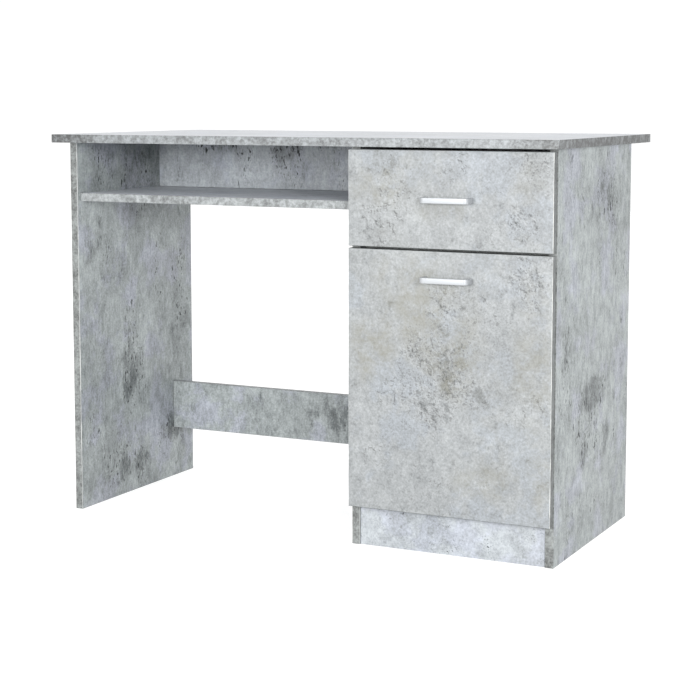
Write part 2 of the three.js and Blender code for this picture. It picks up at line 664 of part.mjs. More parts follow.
function hingePlate(z) {
  const face = inside.right - JOINT_GAP;
  const y = [PLATE_CENTRE - PLATE_LENGTH / 2, PLATE_CENTRE + PLATE_LENGTH / 2];
  const half = ARM_WIDTH / 2;
  const ridge = block([inside.right - PLATE_RISE, face], y, [z - half, z + half]);
  const wingY = [PLATE_CENTRE - PLATE_WING_WIDTH / 2, PLATE_CENTRE + PLATE_WING_WIDTH / 2];
  const wingZ = [z - PLATE_WING_HEIGHT / 2, z + PLATE_WING_HEIGHT / 2];
  return join(ridge, block([face - PLATE_WING_STEEL, face], wingY, wingZ));
}

function hingeLink(z) {
  const half = LINK_WIDTH / 2;
  const height = [z - half, z + half];
  const reach = linkSeat.distanceTo(linkPivot);
  const angle = linkSeat.clone().sub(linkPivot).angle();
  const thin = LINK_THICKNESS / 2;
  const bar = new THREE.Shape();
  bar.moveTo(0, -thin);
  bar.lineTo(reach, -thin);
  bar.absarc(reach, 0, thin, -Math.PI / 2, Math.PI / 2, false);
  bar.lineTo(0, thin);
  const eye = rod([0, 0, height[0]], [0, 0, height[1]], LINK_EYE_RADIUS);
  const bore = rod([0, 0, height[0] - 1], [0, 0, height[1] + 1], LINK_PIN_RADIUS + RUNNING_CLEARANCE);
  const link = cut(join(slab(bar, height), eye), bore);
  return link.rotateZ(angle).translate(linkPivot.x, linkPivot.y, 0);
}

function addHinges() {
  for (const [word, z] of Object.entries(hingeZs)) {
    place(`${word}_hinge_cup`, hingeCup(z), nickel);
    place(`${word}_hinge_arm`, hingeArm(z), nickel);
    place(`${word}_hinge_link`, hingeLink(z), nickel);
    place(`${word}_hinge_plate`, hingePlate(z), nickel);
  }
}

// ---------------------------------------------------------------- assembly
addTop();
addUprights();
addKneeholeBoards();
addPedestalBoards();
addShelfPins();
addDrawerFront();
addDrawerBox();
addRunners();
addDoor();
addHandle("drawer_handle", drawerHandleZ);
addHandle("door_handle", doorHandleZ);
addHinges();
for (const joint of camJoints) {
  place(`${joint.name}_cam`, cam(joint), zinc);
  place(`${joint.name}_bolt`, camBolt(joint), zinc);
}

// The origin is on the floor, under the middle of the desk's box, handles included.
const handleFaceY = frontFaceY - JOINT_GAP - HANDLE_REACH;
const foremostY = Math.min(handleFaceY, -TOP_FRONT_OVERHANG);
desk.position.y = -(foremostY + panelDepth + TOP_REAR_OVERHANG) / 2;

const part = new THREE.Group();
part.add(desk);
export default part;
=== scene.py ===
# %% [markdown]
# # A flat-pack writing desk in concrete-look board
# The desk is a desktop on a plain side panel and a pedestal with a drawer and a door.
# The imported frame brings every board, runner and hinge in its true place. This file gives
# each of them its finished surface: softened edges, printed decor, edge bands and fastenings.

# %% Load the frame
import math

import bmesh
import bpy
from mathutils import Matrix, Vector


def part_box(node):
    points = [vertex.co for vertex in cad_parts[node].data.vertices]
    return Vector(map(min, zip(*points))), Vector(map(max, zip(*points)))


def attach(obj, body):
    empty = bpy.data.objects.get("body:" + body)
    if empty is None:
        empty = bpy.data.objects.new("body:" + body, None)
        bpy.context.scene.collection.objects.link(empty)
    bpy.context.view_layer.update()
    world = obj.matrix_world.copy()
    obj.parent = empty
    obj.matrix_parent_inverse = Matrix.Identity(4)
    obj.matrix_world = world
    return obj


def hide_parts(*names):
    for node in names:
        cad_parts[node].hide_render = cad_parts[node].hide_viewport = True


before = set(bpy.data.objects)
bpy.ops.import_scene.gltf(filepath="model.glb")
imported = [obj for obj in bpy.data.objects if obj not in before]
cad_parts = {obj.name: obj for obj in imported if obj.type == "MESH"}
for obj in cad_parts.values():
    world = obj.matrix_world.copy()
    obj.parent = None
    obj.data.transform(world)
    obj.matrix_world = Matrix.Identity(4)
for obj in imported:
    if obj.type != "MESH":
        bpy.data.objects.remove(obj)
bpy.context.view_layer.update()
MM = 0.001

# %% [markdown]
# A few helpers serve the whole file. They put data into the scene, read a node's box, turn
# modifiers into plain mesh, and settle a finished piece on its body in place of its node.


# %% Scene helpers
def link_object(name, data):
    obj = bpy.data.objects.new(name, data)
    bpy.context.scene.collection.objects.link(obj)
    return obj


def as_object(name, solid):
    """A bmesh as an object in the scene."""
    mesh = bpy.data.meshes.new(name)
    solid.to_mesh(mesh)
    solid.free()
    return link_object(name, mesh)


def box_of(node):
    return [Vector(corner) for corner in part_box(node)]


def apply_modifiers(obj):
    graph = bpy.context.evaluated_depsgraph_get()
    shape = bpy.data.meshes.new_from_object(obj.evaluated_get(graph))
    obj.modifiers.clear()
    obj.data = shape


def shade_smooth(obj, angle=32.0):
    for polygon in obj.data.polygons:
        polygon.use_smooth = True
    obj.data.set_sharp_from_angle(angle=math.radians(angle))


def settle(obj, body, finish, *nodes):
    """A piece gets its finish and its body, and stands for the nodes it was made from."""
    if finish:
        obj.data.materials.clear()
        obj.data.materials.append(finish)
    shade_smooth(obj)
    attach(obj, body)
    if nodes:
        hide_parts(*nodes)


# %% [markdown]
# ## Camera and light
# A product picture of a desk is taken from a little above the top, turned so that the front
# and the pedestal's right side both show. A long lens keeps the uprights nearly parallel.
# The light is a bright, even room with two soft lamps barely above the desktop, so that they
# reach under the top. The one to the right throws the pedestal's shadow into the kneehole.

# %% Camera
CAMERA_PLACE = (1.4707, -2.9991, 0.8203)
CAMERA_TURN = math.radians(26.18)
CAMERA_DIP = math.radians(6.10)
CAMERA_LENS = 87.6
CAMERA_SHIFT = -0.1  # the whole desk sits low in a level view, so the frame slides down

camera_data = bpy.data.cameras.new("camera")
camera_data.lens = CAMERA_LENS
camera_data.shift_y = CAMERA_SHIFT
camera = link_object("camera", camera_data)
camera.location = CAMERA_PLACE
camera.rotation_euler = (math.pi / 2 - CAMERA_DIP, 0.0, CAMERA_TURN)
bpy.context.scene.camera = camera
bpy.context.scene.view_settings.view_transform = "Standard"
print("camera at", CAMERA_PLACE)

# %% Room light and lamps
ROOM_LIGHT = 1.06
LAMP_POWER = 92.0


def light_room():
    world = bpy.data.worlds.new("room")
    world.use_nodes = True
    background = world.node_tree.nodes["Background"]
    background.inputs["Color"].default_value = (1.0, 1.0, 1.0, 1.0)
    background.inputs["Strength"].default_value = ROOM_LIGHT
    bpy.context.scene.world = world


def add_lamp(name, place, target, size):
    data = bpy.data.lights.new(name, "AREA")
    data.shape = "DISK"
    data.size = size
    data.energy = LAMP_POWER
    lamp = link_object(name, data)
    lamp.location = place
    aim = Vector(target) - Vector(place)
    lamp.rotation_euler = aim.to_track_quat("-Z", "Y").to_euler()


light_room()
add_lamp("key_lamp", place=(2.6, -2.8, 1.15), target=(0.0, 0.0, 0.4), size=0.7)
add_lamp("fill_lamp", place=(-0.4, -4.0, 1.00), target=(0.0, 0.0, 0.50), size=1.0)

# %% [markdown]
# ## Shader helpers
# Every finish here is a small node tree. The helpers keep the trees short to read: one adds a
# node and wires its inputs, others fold values together or open a group with named sockets.

# %% Node helpers
VECTOR, COLOUR, NUMBER = "NodeSocketVector", "NodeSocketColor", "NodeSocketFloat"


def put(tree, value, socket):
    """Wires a socket to another node's output, or sets it to a plain value."""
    if isinstance(value, bpy.types.NodeSocket):
        tree.links.new(value, socket)
    else:
        socket.default_value = value


def add(tree, kind, inputs=None, **settings):
    node = tree.nodes.new(kind)
    for key, value in settings.items():
        setattr(node, key, value)
    for key, value in (inputs or {}).items():
        put(tree, value, node.inputs[key])
    return node


def folding(operation):
    """A helper that folds its values from left to right with one operation."""

    def fold(tree, value, *others, clamp=False):
        for other in others:
            inputs = {0: value, 1: other}
            node = add(tree, "ShaderNodeMath", inputs, operation=operation, use_clamp=clamp)
            value = node.outputs[0]
        return value

    return fold


plus, minus, times = folding("ADD"), folding("SUBTRACT"), folding("MULTIPLY")
largest = folding("MAXIMUM")


def remap(tree, value, low, high, to_low=0.0, to_high=1.0):
    inputs = {"Value": value, "From Min": low, "From Max": high}
    inputs.update({"To Min": to_low, "To Max": to_high})
    node = add(tree, "ShaderNodeMapRange", inputs, interpolation_type="SMOOTHSTEP")
    return node.outputs["Result"]


def noise(tree, vector, size, detail=2.0, roughness=0.5):
    """Soft noise whose blobs are about size metres across."""
    inputs = {"Vector": vector, "Scale": 1.0 / size, "Detail": detail, "Roughness": roughness}
    return add(tree, "ShaderNodeTexNoise", inputs).outputs["Fac"]


def blend_colour(tree, factor, first, second):
    inputs = {0: factor, 6: first, 7: second}
    return add(tree, "ShaderNodeMix", inputs, data_type="RGBA").outputs[2]


def new_group(name, inputs, outputs):
    group = bpy.data.node_groups.new(name, "ShaderNodeTree")
    for way, sockets in (("INPUT", inputs), ("OUTPUT", outputs)):
        for title, kind in sockets.items():
            group.interface.new_socket(title, in_out=way, socket_type=kind)
    given, result = group.nodes.new("NodeGroupInput"), group.nodes.new("NodeGroupOutput")
    return group, given.outputs, result.inputs


def srgb(red, green, blue):
    """A colour given in the 0 to 255 steps of a paint chart, as the linear value shaders use."""
    steps = [value / 255 for value in (red, green, blue)]
    linear = [s / 12.92 if s <= 0.04045 else ((s + 0.055) / 1.055) ** 2.4 for s in steps]
    return (*linear, 1.0)


# %% [markdown]
# ## The concrete print
# Melamine board carries a printed paper under a clear resin. This print imitates cast
# concrete: wide soft clouds, smaller mottling, pale drips that follow the board's grain,
# beige water stains, clusters of dark air pits and flaking plaster. Pits and flakes are
# groups of their own, so that a board can have more of one and less of the other.


# %% Air pits
def make_pits_group():
    inputs = {"Vector": VECTOR, "Amount": NUMBER, "Crowd": NUMBER}
    group, given, result = new_group("Air pits", inputs, {"Mask": NUMBER})
    vector = given["Vector"]
    flecks = remap(group, noise(group, vector, 0.0062, 2.5, 0.62), 0.56, 0.66)
    fine = remap(group, noise(group, vector, 0.0036, 1.5, 0.5), 0.58, 0.68)
    crowd = plus(group, noise(group, vector, 0.055, 4.0, 0.65), given["Crowd"])
    large = times(group, flecks, remap(group, crowd, 0.52, 0.68))
    small = times(group, fine, remap(group, crowd, 0.42, 0.70), 0.5)
    mask = times(group, largest(group, large, small), given["Amount"], clamp=True)
    group.links.new(mask, result["Mask"])
    return group


# %% [markdown]
# Flaking plaster shows as islands with a lit rim on one side and a shaded rim on the other.
# Sharpened noise draws the islands. The same noise, looked up a millimetre away and taken
# off, leaves only those two rims, as an embossing filter would.

# %% Plaster flakes
RIM_SHIFT = (0.0013, 0.0013, 0.0015)
RIM_GAIN = 1.6


def make_flakes_group():
    inputs = {"Vector": VECTOR, "Amount": NUMBER, "Crowd": NUMBER}
    outputs = {"Shaded Rim": NUMBER, "Lit Rim": NUMBER}
    group, given, result = new_group("Plaster flakes", inputs, outputs)
    vector = given["Vector"]
    beside = add(group, "ShaderNodeVectorMath", {0: vector, 1: RIM_SHIFT}).outputs[0]
    looks = [noise(group, where, 0.024, 7.0, 0.66) for where in (vector, beside)]
    rims = minus(group, *[remap(group, look, 0.46, 0.54) for look in looks])
    crowd = plus(group, noise(group, vector, 0.09, 3.0, 0.6), given["Crowd"])
    there = times(group, remap(group, crowd, 0.54, 0.68), given["Amount"])
    rims = times(group, rims, there)
    for title, gain in (("Shaded Rim", -RIM_GAIN), ("Lit Rim", RIM_GAIN)):
        group.links.new(times(group, rims, gain, clamp=True), result[title])
    return group


# %% [markdown]
# A print is not the same everywhere: a real sheet has one smoky patch here and one beige bloom
# there. A patch mask is an ellipsoid with a ragged rim at a chosen place. Dark patches also
# paint the shade under the desktop along the top of the upper back.

# %% Patches at chosen places
RAGGEDNESS = 0.9


def make_patch_group():
    inputs = {"Vector": VECTOR, "Centre": VECTOR, "Size": VECTOR}
    group, given, result = new_group("Patch", inputs, {"Mask": NUMBER})
    away = given["Vector"]
    for title, operation in (("Centre", "SUBTRACT"), ("Size", "DIVIDE")):
        inputs = {0: away, 1: given[title]}
        away = add(group, "ShaderNodeVectorMath", inputs, operation=operation).outputs[0]
    distance = add(group, "ShaderNodeVectorMath", {0: away}, operation="LENGTH")
    ragged = minus(group, noise(group, given["Vector"], 0.045, 4.0, 0.6), 0.5)
    rim = plus(group, distance.outputs["Value"], times(group, ragged, RAGGEDNESS))
    group.links.new(remap(group, rim, 0.25, 1.0, 1.0, 0.0), result["Mask"])
    return group


pits_group, flakes_group, patch_group = make_pits_group(), make_flakes_group(), make_patch_group()
print("groups:", pits_group.name, "and", flakes_group.name, "and", patch_group.name)

# %% The whole print
COLOUR_TITLES = ("Light", "Haze", "Dark", "Stain", "Pit")
AMOUNT_TITLES = ("Clouds", "Drips", "Stains", "Pits", "Flakes")
PATCH_TITLES = ("Stain Patch", "Smoke Patch", "Flake Patch")


def make_print_group():
    inputs = dict.fromkeys(("Vector", "Grain Vector"), VECTOR)
    inputs.update(dict.fromkeys(COLOUR_TITLES, COLOUR))
    inputs.update(dict.fromkeys(AMOUNT_TITLES + PATCH_TITLES, NUMBER))
    outputs = {"Colour": COLOUR, "Marks": NUMBER, "Relief": NUMBER}
    group, given, result = new_group("Concrete print", inputs, outputs)
    vector, grain = given["Vector"], given["Grain Vector"]
    # Dark patches are smoke in the print, and painted shade under the desktop on the upper back.
    dark_print_and_shade, bloom = given["Smoke Patch"], given["Stain Patch"]

    def swing(value, amount):
        return times(group, minus(group, value, 0.5), amount)

    tone = swing(noise(group, vector, 0.17, 4.0, 0.55), given["Clouds"])
    drips = swing(noise(group, grain, 0.018, 4.0, 0.6), given["Drips"])
    mottle = swing(noise(group, vector, 0.028, 6.0, 0.70), 0.95)
    fine = swing(noise(group, grain, 0.0062, 3.0, 0.65), 0.90)
    grit = swing(noise(group, vector, 0.0038, 2.0, 0.6), 0.90)
    ragged = plus(group, noise(group, grain, 0.020, 6.0, 0.72), times(group, dark_print_and_shade, 0.22))
    smudge = times(group, remap(group, ragged, 0.55, 0.76), 0.50)
    tone = minus(group, plus(group, tone, drips, mottle, fine, grit, 0.58), smudge, clamp=True)
    tint = remap(group, noise(group, vector, 0.10, 4.0, 0.65), 0.49, 0.60)
    light = blend_colour(group, tint, given["Light"], given["Haze"])
    base = blend_colour(group, tone, given["Dark"], light)

    wash = remap(group, noise(group, vector, 0.20, 4.0, 0.65), 0.50, 0.70)
    spread = remap(group, noise(group, vector, 0.030, 6.0, 0.72), 0.36, 0.62, 0.15, 1.0)
    wash = largest(group, times(group, wash, given["Stains"]), times(group, bloom, spread))
    stain = blend_colour(group, times(group, tone, 0.55), given["Stain"], light)
    stained = blend_colour(group, wash, base, stain)

    near = times(group, given["Flake Patch"], 0.25)
    crowd = plus(group, times(group, dark_print_and_shade, 0.17), near)
    inputs = {"Vector": grain, "Amount": given["Pits"], "Crowd": crowd}
    pits = add(group, "ShaderNodeGroup", inputs, node_tree=pits_group)
    inputs = {"Vector": vector, "Amount": given["Flakes"], "Crowd": near}
    flakes = add(group, "ShaderNodeGroup", inputs, node_tree=flakes_group)
    shaded = times(group, flakes.outputs["Shaded Rim"], 0.75)
    marks = largest(group, pits.outputs[0], shaded, clamp=True)
    final = blend_colour(group, marks, stained, given["Pit"])
    bright = times(group, flakes.outputs["Lit Rim"], 0.6)
    final = blend_colour(group, bright, final, given["Light"])
    results = {"Colour": final, "Marks": marks, "Relief": minus(group, grit, marks)}
    for title, socket in results.items():
        group.links.new(socket, result[title])
    return group


print_group = make_print_group()
print("group:", print_group.name, "with", len(print_group.nodes), "nodes")

# %% [markdown]
# ## Board finishes
# The uprights, the back and the rail come from a cool grey sheet with drips along the grain.
# The drawer front and the door come from a lighter, warmer sheet with beige blooms.
# One function makes both, because they differ only in their colours and amounts.


# %% Print colours and recipes
def palette(*colours):
    return {title: srgb(*colour) for title, colour in zip(COLOUR_TITLES, colours)}


def recipe(*amounts):
    return dict(zip(AMOUNT_TITLES, amounts))


COOL = palette((160, 166, 166), (163, 167, 176), (80, 85, 86), (126, 127, 126), (38, 40, 41))
PALE = palette((146, 149, 150), (143, 148, 153), (88, 91, 92), (103, 102, 92), (50, 50, 48))
BRIGHT = palette((182, 187, 189), (180, 185, 194), (122, 126, 128), (160, 159, 155), (70, 72, 73))
MILKY = palette((164, 169, 173), (163, 168, 178), (106, 110, 113), (146, 146, 143), (34, 36, 37))
# For the desktop and shelf, seen at a grazing angle: partly their own light print, partly painted
# sheen.
WHITE_WITH_SHEEN = palette((208, 211, 215), (206, 210, 218), (170, 173, 177), (190, 190, 188), (120, 122, 124))
COOL_RECIPE = recipe(0.9, 0.75, 0.2, 1.0, 0.0)
PALE_RECIPE = recipe(0.6, 0.15, 0.3, 0.55, 0.6)
TOP_RECIPE = {**COOL_RECIPE, "Drips": 0.25, "Pits": 0.6}
PLINTH_RECIPE = {**COOL_RECIPE, "Drips": 1.1, "Clouds": 1.2}
GRAIN_STRETCH = {"x": (0.30, 1.0, 1.0), "y": (1.0, 0.30, 1.0), "z": (1.0, 1.0, 0.42)}
GRAIN_STRETCH["none"] = (1.0, 1.0, 1.0)


# %% Materials
def new_material(name):
    """A fresh material, its tree, and the object coordinates its pattern lies in."""
    material = bpy.data.materials.new(name)
    material.use_nodes = True
    tree = material.node_tree
    return material, tree, add(tree, "ShaderNodeTexCoord").outputs["Object"]


def surface(material, colour, roughness, height=None, strength=0.0, distance=0.0):
    """Wires colour and gloss into the shader, and a bump where a height is given."""
    tree = material.node_tree
    shader = tree.nodes["Principled BSDF"]
    put(tree, colour, shader.inputs["Base Color"])
    put(tree, roughness, shader.inputs["Roughness"])
    if height is not None:
        inputs = {"Height": height, "Strength": strength, "Distance": distance}
        bump = add(tree, "ShaderNodeBump", inputs)
        tree.links.new(bump.outputs["Normal"], shader.inputs["Normal"])
    return shader


def patch_mask(tree, vector, patches):
    """The strongest of several patches, each (centre, size in metres, strength)."""
    masks = []
    for centre, size, strength in patches:
        inputs = {"Vector": vector, "Centre": centre, "Size": size}
        node = add(tree, "ShaderNodeGroup", inputs, node_tree=patch_group)
        masks.append(times(tree, node.outputs["Mask"], strength))
    return largest(tree, *masks)


def concrete(name, colours, amounts, grain, shift, **patches):
    """Printed melamine. shift slides the pattern, so that no two boards look alike."""
    material, tree, place = new_material(name)
    slid = add(tree, "ShaderNodeMapping", {"Vector": place, "Location": shift}).outputs[0]
    inputs = {"Vector": slid, "Scale": GRAIN_STRETCH[grain]}
    stretched = add(tree, "ShaderNodeMapping", inputs).outputs[0]
    inputs = {"Vector": slid, "Grain Vector": stretched, **colours, **amounts}
    for kind, rows in patches.items():
        inputs[f"{kind} Patch"] = patch_mask(tree, place, rows)
    sheet = add(tree, "ShaderNodeGroup", inputs, node_tree=print_group)
    rough = remap(tree, sheet.outputs["Marks"], 0.0, 1.0, 0.46, 0.72)
    surface(material, sheet.outputs["Colour"], rough, sheet.outputs["Relief"], 0.25, 0.3 * MM)
    return material


# %% [markdown]
# Patches are given by board, in the plane of its front or right face: the place as two
# percentages of the face, two sizes in centimetres, and a strength in per cent. A sixth
# number is the depth. A bloom is beige, and a flake is broken plaster on a pale board or a
# crowd of pits on a cool one. A dark patch is a smoke in the print, and along the top of the
# upper back it is painted shade under the desktop.

# %% Where the patches lie
PATCH_DEPTH = 10  # how far a patch reaches into the board, in centimetres


def spot(node, *shares):
    """A place in a node's box, given as shares of its width, depth and height."""
    low, high = box_of(node)
    return tuple(low[i] + shares[i] * (high[i] - low[i]) for i in range(3))


def patches_on(node, side, rows):
    """Rows of per cent and centimetres, turned into (centre, size in metres, strength)."""
    patches = []
    for across, up, wide, tall, strength, *depth in rows:
        deep = depth[0] if depth else PATCH_DEPTH
        size = (wide, deep, tall) if side == "front" else (deep, wide, tall)
        shares = (across / 100, 0.0) if side == "front" else (1.0, across / 100)
        size = tuple(length / 100 for length in size)
        patches.append((spot(node, *shares, up / 100), size, strength / 100))
    return patches


PATCHES = {
    "door": ("door", "front", {
        "Stain": ((38, 78, 14, 14, 95), (13, 62, 7, 9, 100), (17, 92, 3.5, 5, 80),
            (55, 64, 7, 14, 85), (93, 62, 6, 20, 70), (68, 16, 10, 6, 65), (95, 18, 5, 10, 60)),
        "Smoke": ((50, 60, 5, 10, 65), (46, 43, 5, 6, 55), (66, 47, 6, 4, 45), (92, 88, 3, 4, 50)),
        "Flake": ((42, 52, 12, 14, 95), (50, 80, 8, 9, 80), (90, 86, 5, 10, 60),
            (42, 16, 5, 4, 60)),
    }),
    "drawer_front": ("drawer_front", "front", {
        "Stain": ((16, 62, 9, 7, 75), (45, 40, 12, 3, 50), (88, 70, 5, 5, 35)),
        "Smoke": ((20, 82, 7, 3, 55), (88, 88, 5, 3, 40)),
        "Flake": ((90, 80, 6, 5, 80), (25, 55, 6, 5, 60), (85, 30, 7, 4, 60)),
    }),
    "left_panel": ("left_side_panel", "right", {
        "Smoke": ((45, 93, 13, 5, 30), (42, 36, 5, 11, 80), (80, 16, 6, 5, 80), (40, 8, 12, 5, 60),
            (10, 70, 5, 5, 55), (85, 48, 5, 7, 50)),
        "Flake": ((50, 90, 20, 11, 75), (15, 95, 8, 6, 60), (45, 36, 5, 16, 60),
            (78, 16, 9, 8, 70), (90, 55, 5, 14, 55), (35, 10, 12, 6, 50)),
    }),
    "right_panel": ("pedestal_right_panel", "right", {
        "Smoke": ((48, 38, 12, 6, 100), (38, 25, 3.5, 5, 75, 4), (66, 25, 3.5, 6, 80, 4),
            (70, 88, 9, 6, 55), (15, 50, 5, 5, 45)),
        "Flake": ((62, 85, 14, 13, 50), (15, 45, 7, 14, 60), (45, 30, 10, 10, 55),
            (50, 10, 14, 6, 45)),
    }),
    "upper_back": ("upper_back_panel", "front", {
        # The high dark patches are painted shade under the desktop; the one at 40 per cent is
        # print.
        "Smoke": ((24, 95, 6, 2.5, 80), (52, 85, 5, 6, 100), (68, 98, 6, 2, 75),
            (88, 95, 5, 3, 85), (85, 40, 10, 5, 35)),
        "Flake": ((20, 96, 7, 3, 85), (34, 90, 3, 5, 80), (51, 60, 4, 8, 95), (68, 94, 5, 3, 80),
            (88, 70, 5, 8, 85)),
    }),
    "rail": ("lower_rail", "front", {
        "Smoke": ((70, 55, 13, 4, 80), (93, 35, 4, 4, 60)),
    }),
}
print("patches:", sum(len(rows) for *_, kinds in PATCHES.values() for rows in kinds.values()))

# %% One print for each board
PRINTS = {
    "door": (PALE, PALE_RECIPE, "none", (0.3, 0.0, 0.1)),
    "drawer_front": (PALE, PALE_RECIPE, "none", (1.3, 0.0, 0.7)),
    "left_panel": (COOL, COOL_RECIPE, "z", (2.1, 0.4, 0.2)),
    "right_panel": (COOL, COOL_RECIPE, "z", (0.7, 1.9, 0.5)),
    "pedestal_inner": (COOL, COOL_RECIPE, "z", (3.1, 2.2, 1.5)),
    "upper_back": (MILKY, COOL_RECIPE, "z", (4.2, 0.1, 0.9)),
    "rail": (COOL, COOL_RECIPE, "z", (0.2, 3.3, 0.4)),
    "shelf": (WHITE_WITH_SHEEN, COOL_RECIPE, "x", (1.2, 5.3, 0.8)),
    "inner_board": (BRIGHT, COOL_RECIPE, "x", (8.2, 2.3, 0.8)),
    "desktop": (WHITE_WITH_SHEEN, TOP_RECIPE, "x", (6.1, 0.7, 0.3)),
    "plinth": (MILKY, PLINTH_RECIPE, "none", (5.4, 1.1, 2.2)),
    "drawer_box": (PALE, PALE_RECIPE, "y", (7.2, 0.4, 0.6)),
}
prints = {}
for name, settings in PRINTS.items():
    node, side, kinds = PATCHES.get(name, (None, None, {}))
    patches = {kind: patches_on(node, side, rows) for kind, rows in kinds.items()}
    prints[name] = concrete(f"{name}_print", *settings, **patches)
print("prints:", len(prints))

# %% [markdown]
# ## Edge band and bare chipboard
# A thin strip is glued along each edge that shows. Its print is finer than the faces': a
# salt-and-pepper speckle. Edges that nobody sees stay bare, so the pressed chips show. Where
# an upright corner between face and band was milled, a thin pale line is painted on the round:
# partly the pale resin the cutter lays bare, partly a painted highlight where the round catches
# the light.

# %% Edge band, milled rim with painted highlight, and chipboard
BAND_LAYERS = ((0.0045, 3.0, 0.7, 0.34, 0.45), (0.013, 4.0, 0.65, 0.36, 0.40))
BAND_LAYERS += ((0.075, 2.0, 0.5, 0.35, 0.20),)  # size, detail, roughness, threshold, share
BAND_DARKENING = 0.7


def make_edge_band(name, light, dark, dark_patches=()):
    material, tree, place = new_material(name)
    layers = []
    for size, detail, roughness, low, share in BAND_LAYERS:
        speckle = noise(tree, place, size, detail, roughness)
        layers.append((speckle, remap(tree, speckle, low, 1.0 - low, 0.0, share)))
    tone = plus(tree, *[layer for speckle, layer in layers])
    # Patches, where given, make the band darker.
    if dark_patches:
        darkening = times(tree, patch_mask(tree, place, dark_patches), BAND_DARKENING)
        tone = minus(tree, tone, darkening, clamp=True)
    colour = blend_colour(tree, tone, srgb(*dark), srgb(*light))
    surface(material, colour, 0.45, layers[0][0], 0.2, 0.2 * MM)
    return material


def make_rim_highlight():
    # A pale line for upright rounds: partly milled resin, partly a painted highlight.
    material, tree, place = new_material("milled_rim_highlight")
    unevenness = remap(tree, noise(tree, place, 0.05, 4.0, 0.65), 0.40, 0.60)
    surface(material, blend_colour(tree, unevenness, srgb(146, 148, 147), srgb(188, 190, 187)), 0.4)
    return material


def make_chipboard():
    material, tree, place = new_material("bare_chipboard")
    chips = add(tree, "ShaderNodeTexVoronoi", {"Vector": place, "Scale": 420.0, "Randomness": 1.0})
    parts = add(tree, "ShaderNodeSeparateColor", {"Color": chips.outputs["Color"]})
    colour = blend_colour(tree, parts.outputs[0], srgb(150, 118, 82), srgb(205, 176, 136))
    surface(material, colour, 0.9, chips.outputs["Distance"], 0.6, 0.4 * MM)
    return material


# The desktop's band is darker at its left front corner and along its right end.
desktop_band_darker_ends = [
    (spot("desktop", 0.0, 0.0, 0.5), (0.12, 0.10, 0.10), 0.60),
    (spot("desktop", 1.0, 0.5, 0.5), (0.10, 0.50, 0.10), 0.50),
]
top_band = make_edge_band("desktop_band", (137, 141, 143), (66, 67, 67), desktop_band_darker_ends)
shelf_band = make_edge_band("shelf_band", (148, 152, 153), (78, 80, 80))
upright_band = make_edge_band("upright_band", (132, 136, 135), (64, 65, 64))
# Darker than the other bands: the band's grey plus painted shade on the fronts' edges in the gaps.
shaded_front_band = make_edge_band("shaded_front_band", (104, 108, 108), (54, 56, 56))
# rim is the pale line on upright rounds, partly a painted highlight.
chipboard, rim = make_chipboard(), make_rim_highlight()
print("edges:", top_band.name, shelf_band.name, upright_band.name, rim.name, chipboard.name)


# %% [markdown]
# Hardboard is pressed wood fibre: one face is lacquered, the other keeps the press screen's
# fine net. It closes the pedestal's back and makes the drawer's floor.


# %% Hardboard
def make_hardboard(name, light, dark, net):
    material, tree, place = new_material(name)
    fibres = noise(tree, place, 0.0025, 4.0, 0.7)
    cloud = noise(tree, place, 0.07, 3.0, 0.6)
    tone = plus(tree, times(tree, fibres, 0.6), times(tree, cloud, 0.4))
    colour = blend_colour(tree, remap(tree, tone, 0.3, 0.7), srgb(*dark), srgb(*light))
    height = fibres
    if net:
        inputs = {"Vector": place, "Scale": 700.0, "Randomness": 0.15}
        height = add(tree, "ShaderNodeTexVoronoi", inputs).outputs["Distance"]
    surface(material, colour, 0.75 if net else 0.45, height, 0.4, 0.3 * MM)
    return material


hardboard_back = make_hardboard("hardboard_back", (150, 118, 88), (112, 84, 60), True)
hardboard_face = make_hardboard("hardboard_face", (190, 193, 194), (172, 175, 177), False)
print("hardboard:", hardboard_back.name, hardboard_face.name)


# %% [markdown]
# ## Metals and plastics
# The handles are blasted, lacquered aluminium: it scatters light more than it mirrors it.
# Hinges are nickel plated, cams and screws are zinc, and the drawer runners are steel with a
# white powder coat, which is slightly pebbled. The rollers are white nylon.


# %% Metal and plastic finishes
def darker(colour, share):
    return tuple(channel * share for channel in colour[:3]) + (1.0,)


def make_metal(name, colour, roughness, brush, grain_size, metallic=1.0):
    """Plated or satin metal: brush is how much the fine lines change the gloss."""
    material, tree, place = new_material(name)
    along = add(tree, "ShaderNodeMapping", {"Vector": place, "Scale": (0.04, 1.0, 1.0)})
    lines = noise(tree, along.outputs[0], grain_size, 3.0, 0.6)
    colour = srgb(*colour)
    smudge = noise(tree, place, 0.02, 2.0, 0.5)
    colour = blend_colour(tree, smudge, darker(colour, 0.86), colour)
    rough = remap(tree, lines, 0.3, 0.7, roughness - brush, roughness + brush)
    shader = surface(material, colour, rough, lines, 0.08, 0.1 * MM)
    shader.inputs["Metallic"].default_value = metallic
    return material


def make_coated(name, colour, roughness, pebble_size, strength):
    """Powder coat or moulded plastic: an even colour with a fine pebbled skin."""
    material, tree, place = new_material(name)
    pebbles = noise(tree, place, pebble_size, 2.0, 0.5)
    dirt = remap(tree, noise(tree, place, 0.015, 3.0, 0.6), 0.35, 0.75)
    rough = remap(tree, pebbles, 0.3, 0.7, roughness - 0.05, roughness + 0.05)
    colour = srgb(*colour)
    colour = blend_colour(tree, dirt, colour, darker(colour, 0.90))
    surface(material, colour, rough, pebbles, strength, 0.2 * MM)
    return material


